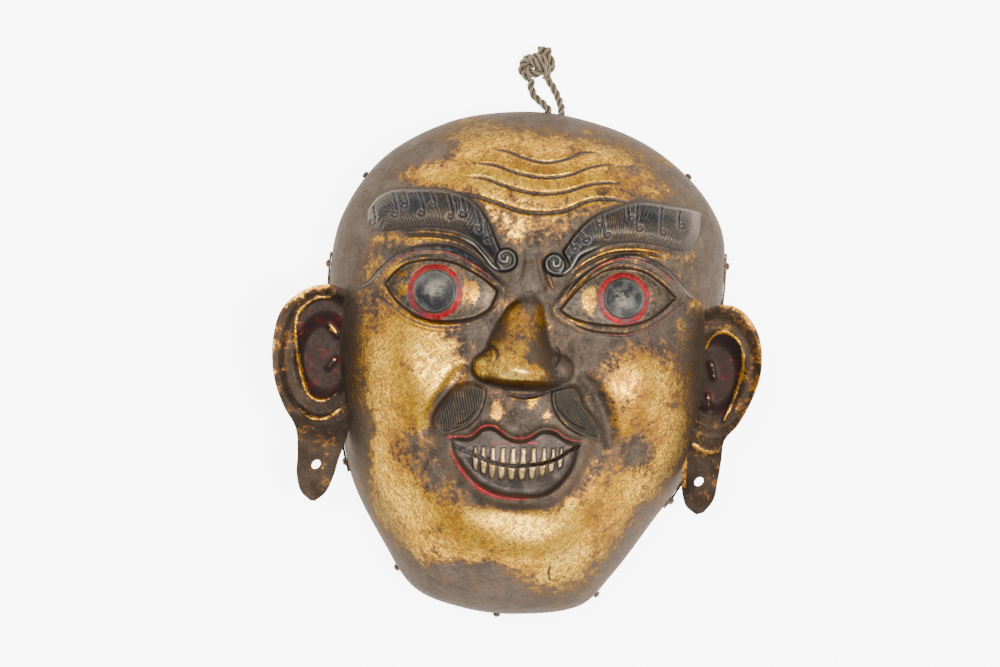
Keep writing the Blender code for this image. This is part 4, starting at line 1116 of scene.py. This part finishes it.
def ear_finish():
    f = Finish("dark_gilt_copper_worn")
    broad, patch = f.noise(26.0, 6.0, 0.6), f.noise(90.0, 6.0, 0.6)
    fleck, grain = f.noise(420.0, 4.0), f.noise(1300.0, 3.0)
    gild = f.plus(f.attribute("gild"), f.plus(f.swing(patch, 2.4), f.swing(fleck, 1.6)))
    gild = f.plus(gild, f.swing(broad, 1.2))
    colour = f.tints(
        (0.012, 0.008, 0.006), (broad, 0.35, 0.65, (0.036, 0.024, 0.016)),
        (fleck, 0.58, 0.72, (0.035, 0.026, 0.021)), (gild, 0.16, 0.50, (0.110, 0.046, 0.012)),
    )
    gold = f.step(gild, 0.50, 0.72)
    yellow = f.tints((0.600, 0.300, 0.022), (grain, 0.42, 0.58, (0.200, 0.088, 0.012)))
    colour = f.mix(gold, colour, yellow)
    dish = f.times(f.step(f.attribute("dish"), -0.5, 1.5), f.sum("SUBTRACT", 1.0, gold))
    wine = f.tints((0.014, 0.009, 0.009), (patch, 0.50, 0.64, (0.036, 0.006, 0.008)))
    colour = f.mix(dish, colour, wine)
    rough = f.blend(gold, f.step(fleck, 0.3, 0.7, 0.42, 0.6), 0.3)
    metal = f.blend(dish, f.blend(gold, 0.45, 0.8), 0.15)
    f.shader.inputs["Specular IOR Level"].default_value = 0.2
    f.shader.inputs["Specular Tint"].default_value = (0.80, 0.60, 0.42, 1.0)
    height = f.plus(f.times(patch, 0.5), f.times(grain, 0.3))
    return f.done(colour, rough, metal, height, 0.0005)


def rivet_finish():
    f = Finish("darkened_copper_worn")
    patch, fleck = f.noise(260.0, 5.0), f.noise(900.0, 4.0)
    colour = f.tints(
        (0.050, 0.034, 0.025), (patch, 0.4, 0.65, (0.170, 0.100, 0.058)),
        (fleck, 0.62, 0.75, (0.380, 0.210, 0.080)),
    )
    return f.done(colour, f.step(fleck, 0.3, 0.7, 0.4, 0.6), 0.8, f.plus(patch, fleck), 0.0004)


def hemp_finish():
    f = Finish("twisted_hemp_fibre")
    combine = f.tree.nodes.new("ShaderNodeCombineXYZ")
    f.plug(combine.inputs[0], f.times(f.attribute("run"), 2.2))
    f.plug(combine.inputs[1], f.times(f.attribute("lay"), 9.0))
    fibre = f.noise(1.0, 5.0, 0.65, where=combine.outputs[0], warp=0.6)
    patch = f.noise(140.0, 5.0)
    hair = f.noise(1500.0, 4.0, 0.7)
    # The rope is darker down between its strands: painted shade
    colour = f.tints(
        (0.085, 0.060, 0.032), (fibre, 0.3, 0.7, (0.300, 0.232, 0.138)),
        (patch, 0.50, 0.70, (0.150, 0.088, 0.048)), (f.attribute("deep"), 0.9, 0.55, (0.040, 0.028, 0.018)),
    )
    return f.done(colour, 0.92, 0.0, f.plus(fibre, f.times(hair, 0.5)), 0.0009)


def floor_finish():
    f = Finish("glowing_pale_floor")
    grain = f.noise(180.0, 4.0)
    f.shader.inputs["Emission Color"].default_value = (1.0, 1.0, 1.0, 1.0)
    # The floor glows in place of lamp light on it, except in a painted shadow under the mask
    apart = f.tree.nodes.new("ShaderNodeSeparateXYZ")
    f.plug(apart.inputs[0], f.where)
    across, along = (
        f.sum("POWER", f.times(apart.outputs[k], 1.0 / half), 2.0) for k, half in enumerate(PAINTED_SHADOW_PATCH)
    )
    f.plug(f.shader.inputs["Emission Strength"], f.step(f.plus(across, along), 0.85, 1.0, 0.0, FLOOR_GLOW))
    return f.done(f.mix(grain, (0.88, 0.885, 0.89), (0.91, 0.915, 0.92)), 0.85)


def store(mesh, name, values):
    layer = mesh.attributes.new(name, "FLOAT", "POINT")
    layer.data.foreach_set("value", np.asarray(values, dtype=np.float32))


def vertices_of(mesh):
    places = np.zeros(len(mesh.vertices) * 3, dtype=np.float32)
    mesh.vertices.foreach_get("co", places)
    return places.reshape(-1, 3).astype(float) / UNIT


def near_lines(x, y, lines, half_width, count=26, taper=0.1):
    """How far inside the nearest of some painted lines each point is."""
    best = np.full(x.shape, -9.0)
    for points in lines:
        i = window(x, y, points, 9.0)
        distance, along = distance_to(x[i], y[i], curve_through(points, count))
        width = half_width * smooth_step(-0.02, taper, along) * smooth_step(-0.02, taper, 1.0 - along)
        best[i] = np.maximum(best[i], width - distance)
    return best


def near_any(x, y, rows):
    """The same for several sets of lines; a row has the lines and what else near_lines takes."""
    return np.maximum.reduce([near_lines(x, y, *row) for row in rows])


def near_areas(x, y, outlines):
    best = np.full(x.shape, -9.0)
    for outline in outlines:
        i = window(x, y, outline.tolist(), 9.0)
        best[i] = np.maximum(best[i], inside_of(x[i], y[i], outline))
    return best


def mark_face(mesh):
    """Where each kind of paint and gilding is, and where light and shade are painted, as numbers on the
    points of the mesh.
    """
    x, y, _ = vertices_of(mesh).T
    share = np.clip(np.hypot(x, y) / rim_radius(np.arctan2(y, x)), 0.0, 1.0)
    height = relief(x, y, share)
    hollow = height - relief_around(x, y, share, 5.5).mean(axis=0)
    mouth = near_areas(x, y, [MOUTH_OUTLINE])
    gild = 0.08 + soft_spots(x, y, GILDING) - 0.45 * smooth_step(0.78, 0.97, share)
    # Less gilding in the hollows of the relief: dark patina there, and partly painted shade
    gild += 0.10 * np.clip(hollow, -4.0, 1.5) - 0.9 * smooth_step(-8.8, -3.0, mouth)
    spiral = near_lines(x, y, SPIRAL_LINES.values(), 2.0, 90)
    for cx, cy, radius in SPIRALS.values():
        spiral = np.maximum(spiral, radius - np.hypot(x - cx, y - cy))
    pupils = [np.hypot(x - eye[6], y - eye[7]) / eye[8] for eye in EYES.values()]
    red = near_any(x, y, [
        ([BAND_LOW["left"][2:], BAND_LOW["right"][2:-1]], 0.45), ([LOWER_LIDS["right"]], 0.7),
        ([UPPER_LIP], 0.9, 48, 0.02), ([LIP_BAND], 2.3, 48, 0.3),
    ])
    curls = [curl_line(curl, side) for side in CURLS for curl in CURLS[side]]
    # Dark lines along the sunk lines and steps: patina, and partly painted shade
    crease_patina_and_shade = near_any(x, y, [
        (FOREHEAD_GROOVES, 1.25, 40, 0.2), (BROW_TOP.values(), 1.0), ([UNDER_NOSE], 0.8),
        ([*CREASES.values(), *LOWER_LIDS.values()], 0.7), (curls, 0.6, 40, 0.02),
        ([*WING_CREASES, FOLDS[-1][0]], 0.5),
    ])
    upright = np.zeros(len(mesh.vertices) * 3, dtype=np.float32)
    mesh.vertex_normals.foreach_get("vector", upright)
    depth = [away_from(x, y, BROW_TOP[side], 36) for side in BROW_TOP]
    marks = {
        "gild": gild, "hollow": hollow, "rubbed_gold_and_highlight": soft_spots(x, y, RUBBED_GOLD_AND_HIGHLIGHTS),
        "side": smooth_step(0.80, 0.97, share),
        # edge: how steep the surface is, which sets the painted shade on slopes
        "edge": smooth_step(0.93, 0.52, upright.reshape(-1, 3)[:, 2].astype(float)),
        "cavity": height - relief_around(x, y, share, 1.6).mean(axis=0),
        "brow": np.maximum(near_areas(x, y, BROW_OUTLINES.values()), spiral),
        "brow_depth": np.minimum(*depth), "spiral": spiral,
        "band": near_areas(x, y, BANDS.values()), "almond": near_areas(x, y, ALMONDS.values()),
        "pupil": np.minimum(np.minimum(*pupils), 9.0), "mouth": mouth,
        "tuft": near_areas(x, y, TUFT_OUTLINES.values()),
        "teeth": tooth_inside(x, y) - 1.2 * smooth_step(22.0, 40.0, np.abs(x + 6.0)),
        "gum": near_lines(x, y, [GUM], 1.4),
        "red": red - soft_spots(x, y, [(14.0, -52.0, 8.0, 5.0, 1.3)]), "crease_patina_and_shade": crease_patina_and_shade,
    }
    for name, values in marks.items():
        store(mesh, name, values)


def border_ring(body, first, last):
    """The open border of a sheet, as its points in order round the middle."""
    ring = {corner for edge in body.edges if edge.is_boundary for corner in edge.verts}
    ring = [corner for corner in ring if first <= corner.index < last]
    return sorted(ring, key=lambda corner: math.atan2(corner.co.y, corner.co.x))


def closed_sheet(name, front, back):
    """One closed sheet of metal from its outside and its inside, joined along the rim."""
    body = bmesh.new()
    body.from_mesh(front)
    body.from_mesh(back)
    body.verts.index_update()
    body.faces.ensure_lookup_table()
    for face in body.faces[len(front.polygons):]:
        face.material_index = 1
    middle, total = len(front.vertices), len(body.verts)
    outer, inner = border_ring(body, 0, middle), border_ring(body, middle, total)
    for corner in outer + inner:
        corner.co.z = 0.0

    def turn_of(ring, k):
        corner = ring[k % len(ring)]
        return math.atan2(corner.co.y, corner.co.x) + 2.0 * math.pi * (k // len(ring))

    i, j = 0, 0
    while i < len(outer) or j < len(inner):
        a, b = outer[i % len(outer)], inner[j % len(inner)]
        if j == len(inner) or (i < len(outer) and turn_of(outer, i + 1) < turn_of(inner, j + 1)):
            i += 1
            face = body.faces.new((a, outer[i % len(outer)], b))
        else:
            j += 1
            face = body.faces.new((a, inner[j % len(inner)], b))
        face.material_index = 1
    return body_mesh(name, body)


def build_face(outside, inside):
    front = thinned("face_front", grid_mesh("front_full", outside_points(OUTSIDE_CELLS)), OUTSIDE_TRIANGLES)
    back = thinned("face_back", grid_mesh("back_full", inside_points(INSIDE_CELLS)), INSIDE_TRIANGLES)
    sheet = closed_sheet("face_sheet", front, back)
    sheet.materials.append(outside)
    sheet.materials.append(inside)
    shell = placed("face_work", sheet)
    body = bmesh.new()
    add_prism(body, curve_through(SLIT, 22), SLIT_HALF, 0.03, 0.25)
    for degrees in ROPE_HOLES:
        place, outward = wall_point(degrees, ROPE_HOLE_LEVEL)
        add_turned(body, rod_profile(ROPE_HOLE_RADIUS, 0.006), 16, place, outward)
    cutter_mesh = body_mesh("cutters", body)
    cutter_mesh.materials.append(inside)
    cutter = placed("cutters", cutter_mesh)
    cut_by(shell, [cutter])
    mesh = evaluated(shell, "face")
    bpy.data.objects.remove(cutter, do_unlink=True)
    mark_face(mesh)
    mesh.shade_smooth()
    mesh.set_sharp_from_angle(angle=math.radians(55))
    face = placed("gilt_face", mesh)
    face.location = ORIGIN
    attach(face, "root")
    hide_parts("face_shell")
    return face


def ear_height(x, y, side):
    """Height of an ear sheet: a rolled outer edge, a dish inside it and a flat tongue below."""
    ear = EARS[side]
    mx, my = ear["middle"]
    outward = -1.0 if side == "left" else 1.0
    plane = ear["level"] + 0.10 * (y - my) + 0.16 * outward * (x - mx)
    cx, cy, rx, ry = ear["dish"]
    reach = np.hypot((x - cx) / rx, (y - cy) / ry)
    dish = -7.5 * (1.0 - smooth_step(0.62, 1.05, reach))
    roll = 4.0 * smooth_step(1.2, 1.5, reach) * smooth_step(-75.0, -45.0, y)
    crease = away_from(x, y, EAR_CREASE[side], 30)
    fine = 1.3 * bell(crease, 1.3)
    arc = away_from(x, y, EAR_ARCS[side], 16)
    fine += 1.2 * bell(arc, 1.6)
    for points in TRAGUS[side]:
        bump = away_from(x, y, points, 8)
        fine += 2.2 * bell(bump, 2.6)
    return plane + dish + roll + fine + 0.25 * lumps(x, y, 9.0, 11)


def build_ear(side, outside, guard):
    columns, rows = ((70, 200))
    outer = curve_through(EARS[side]["outer"], rows + 1)
    inner = curve_through(EARS[side]["inner"], rows + 1)
    left, right = (outer, inner) if side == "left" else (inner, outer)
    share = np.linspace(0.0, 1.0, columns + 1)[None, :, None]
    plan = (left[:, None, :] * (1.0 - share) + right[:, None, :] * share)[::-1]
    x, y = plan[:, :, 0], plan[:, :, 1]
    mesh = grid_mesh("ear_" + side, np.stack([x, y, ear_height(x, y, side)], axis=2) * UNIT)
    mesh.materials.append(outside)
    ear = placed("ear_work", mesh)
    solid = ear.modifiers.new("sheet", "SOLIDIFY")
    solid.thickness = EAR_SHEET
    solid.offset = -1.0
    hx, hy = EARS[side]["hole"]
    level = float(ear_height(np.array([float(hx)]), np.array([float(hy)]), side)[0]) * UNIT
    body = bmesh.new()
    middle = Vector((hx * UNIT, hy * UNIT, level))
    add_turned(body, rod_profile(LOBE_HOLE_RADIUS, 0.02), 24, middle, Vector((0, 0, 1)), LOBE_HOLE_STRETCH)
    cutter = placed("lobe_cutter", body_mesh("lobe_cutter", body))
    cut_by(ear, [cutter, guard])
    made = evaluated(ear, "ear_" + side)
    bpy.data.objects.remove(cutter, do_unlink=True)
    x, y, _ = vertices_of(made).T
    cx, cy, _, _ = EARS[side]["dish"]
    crease = near_lines(x, y, [EAR_CREASE[side]], 0.6, 30)
    arc = near_lines(x, y, [EAR_ARCS[side]], 0.9, 16)
    marks = near_lines(x, y, TRAGUS[side], 1.0, 8)
    edge, along = distance_to(x, y, curve_through(EARS[side]["outer"], 60))
    rim = 0.62 * (1.0 - smooth_step(0.0, 6.0, edge)) * (1.0 - smooth_step(0.10, 0.26, along))
    gild = 0.02 + rim + 0.25 * (1.0 - smooth_step(1.0, 4.0, edge)) * smooth_step(-60.0, -40.0, y)
    gild -= 0.35 * smooth_step(-45.0, -70.0, y)
    if side == "right":
        inner_edge = away_from(x, y, EARS[side]["inner"], 60)
        on_lobe = smooth_step(-104.0, -94.0, y) * smooth_step(-52.0, -66.0, y)
        gild += 1.1 * smooth_step(6.5, 2.5, inner_edge) * on_lobe
    for line, amount in ((crease, 0.78), (arc, 0.6), (marks, 0.6)):
        gild = np.maximum(gild, amount * smooth_step(-1.6, 0.4, line))
    store(made, "gild", gild)
    toward_face = cx + (20 if side == "left" else -20)
    ends = [(toward_face, cy - 20), (toward_face, cy + 20)]
    store(made, "dish", inside_of(x, y, np.vstack([curve_through(EAR_CREASE[side], 30), ends])))
    made.shade_smooth()
    made.set_sharp_from_angle(angle=math.radians(50))
    ear = placed("sheet_ear_" + side, made)
    ear.location = ORIGIN
    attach(ear, "root")
    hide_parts("ear_" + side)


def build_guard():
    """The space that the face fills, a hair larger, for trimming the ears where they meet the wall."""
    mesh = thinned("guard", grid_mesh("guard_full", outside_points((104, 120), False)), 2800)
    body = bmesh.new()
    body.from_mesh(mesh)
    body.normal_update()
    for corner in body.verts:
        corner.co += corner.normal * WALL_GAP
    border = [edge for edge in body.edges if edge.is_boundary]
    below = body.verts.new((0.0, 0.0, -2.0 * SHEET))
    for edge in border:
        body.faces.new((edge.verts[0], edge.verts[1], below))
    return placed("wall_guard", body_mesh("wall_guard", body))


def build_rivets(finish):
    for number, degrees in enumerate(RIVETS, start=1):
        node = f"rivet_{number:02d}"
        place, outward = wall_point(degrees, RIVET_LEVEL)
        head = RIVET_HEAD * np.random.default_rng(number).uniform(0.94, 1.0)
        seat = 0.0017 if number in ON_STRIPS else 0.0003
        profile = [*RIVET_SHANK, (0.0011, seat), (head, seat)]
        for k in range(1, 8):
            turn = 0.5 * math.pi * k / 7
            radius = head * math.cos(turn) if k < 7 else 0.0
            profile.append((radius, seat + 0.0003 + RIVET_RISE * math.sin(turn)))
        body = bmesh.new()
        add_turned(body, profile, 20, place, outward)
        for corner in body.verts:
            push = 0.00018 * math.sin(corner.co.x * 2100 + number) * math.cos(corner.co.z * 1900 + number)
            corner.co += outward * push if (corner.co - place).dot(outward) > seat + 0.0004 else Vector()
        mesh = body_mesh("rivet", body)
        mesh.shade_smooth()
        mesh.set_sharp_from_angle(angle=math.radians(50))
        mesh.materials.append(finish)
        rivet = placed(f"round_rivet_{number:02d}", mesh)
        rivet.location = ORIGIN
        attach(rivet, "root")
        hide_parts(node)


def swept_rope(name, line, radius):
    """A rope of three twisted strands that follows a line of points in metres."""
    line = np.array(line)
    steps = np.linalg.norm(np.diff(line, axis=0), axis=1)
    total = np.concatenate([[0.0], np.cumsum(steps)])
    count, sides = int(total[-1] / ROPE_STEP) + 2, ROPE_SIDES
    where = np.linspace(0.0, total[-1], count)
    places = np.stack([np.interp(where, total, line[:, k]) for k in range(3)], axis=1)
    ahead = np.gradient(places, axis=0)
    ahead /= np.linalg.norm(ahead, axis=1)[:, None]
    side = np.cross(ahead[0], (0.0, 0.0, 1.0))
    side /= np.linalg.norm(side)
    strand, centre = 0.464 * radius, 1.155 * 0.464 * radius
    third = 2.0 * math.pi / 3.0
    verts, run, lay, deep = [], [], [], []
    for k in range(count):
        side = side - ahead[k] * np.dot(side, ahead[k])
        side /= np.linalg.norm(side)
        other = np.cross(ahead[k], side)
        for m in range(sides):
            turn = 2.0 * math.pi * m / sides
            strand_number, phase = divmod(turn - 2.0 * math.pi * where[k] / ROPE_TWIST + third / 2.0, third)
            phase -= third / 2.0
            bulge = math.sqrt(max(strand**2 - (centre * math.sin(phase)) ** 2, 0.0))
            reach = centre * math.cos(phase) + bulge
            verts.append(places[k] + (side * math.cos(turn) + other * math.sin(turn)) * reach)
            run.append(where[k] * 1000.0)
            lay.append(phase * 3.0 + 2.0 * strand_number)
            deep.append(reach / radius)
    faces = []
    for k in range(count - 1):
        for m in range(sides):
            n = (m + 1) % sides
            faces.append((k * sides + m, k * sides + n, (k + 1) * sides + n, (k + 1) * sides + m))
    faces.append(tuple(range(sides))[::-1])
    faces.append(tuple(range((count - 1) * sides, count * sides)))
    mesh = bpy.data.meshes.new(name)
    mesh.from_pydata([tuple(v) for v in verts], [], faces)
    for name, values in (("run", run), ("lay", lay), ("deep", deep)):
        store(mesh, name, values)
    mesh.shade_smooth()
    return mesh


def build_rope(finish):
    route = [Vector(p) + ORIGIN for p in ROPE_ROUTE]
    line = curve_through([tuple(p) for p in route], 160)
    mesh = swept_rope("rope", line, 1.08 * ROPE_DIAMETER / 2.0)
    mesh.materials.append(finish)
    rope = placed("rope_loop", mesh)
    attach(rope, "root")
    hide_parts("hanging_rope")
    turns = []
    for number, points in enumerate(KNOT_TURNS):
        places = [tuple(Vector(point) * UNIT + ORIGIN) for point in points]
        turns.append(swept_rope(f"knot_{number}", curve_through(places, 60), KNOT_ROPE_RADIUS))
    knot_mesh = merged("knot", turns)
    knot_mesh.materials.append(finish)
    knot = placed("tied_knot", knot_mesh)
    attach(knot, "root")
    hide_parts("rope_knot")


def build_studio():
    body = bmesh.new()
    add_box(body, (-4.0, -4.0, -0.02), (4.0, 4.0, 0.0))
    mesh = body_mesh("floor", body)
    mesh.materials.append(floor_finish())
    floor = placed("floor", mesh)
    world = bpy.data.worlds.new("studio")
    bpy.context.scene.world = world
    world.use_nodes = True
    background = world.node_tree.nodes["Background"]
    background.inputs["Color"].default_value = (1.0, 1.0, 1.0, 1.0)
    background.inputs["Strength"].default_value = ROOM_LIGHT
    for name, place, size, power in LAMPS:
        lamp = bpy.data.lights.new(name, "AREA")
        lamp.size = size
        lamp.energy = power
        thing = placed(name, lamp)
        thing.location = place
        thing.rotation_euler = (Vector((0.0, 0.0, 0.05)) - Vector(place)).to_track_quat("-Z", "Y").to_euler()


def build_camera():
    camera = bpy.data.cameras.new("camera")
    camera.sensor_width = SENSOR_WIDTH
    camera.lens = SENSOR_WIDTH * FACE_DISTANCE / VIEW_WIDTH
    camera.shift_x, camera.shift_y = CAMERA_SHIFT
    camera.clip_end = 20.0
    thing = placed("camera", camera)
    thing.location = CAMERA_PLACE
    thing.rotation_euler = (0.0, 0.0, math.radians(CAMERA_TURN))
    bpy.context.scene.camera = thing


build_camera()
hemp = hemp_finish()
build_rope(hemp)
build_face(face_finish(), inside_finish())
guard = build_guard()
ear_material = ear_finish()
for ear_side in EARS:
    build_ear(ear_side, ear_material, guard)
bpy.data.objects.remove(guard, do_unlink=True)
dark = rivet_finish()
build_rivets(dark)
for strip in ("side_strip_left", "side_strip_right"):
    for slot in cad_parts[strip].material_slots:
        slot.material = dark
build_studio()

bpy.context.view_layer.update()
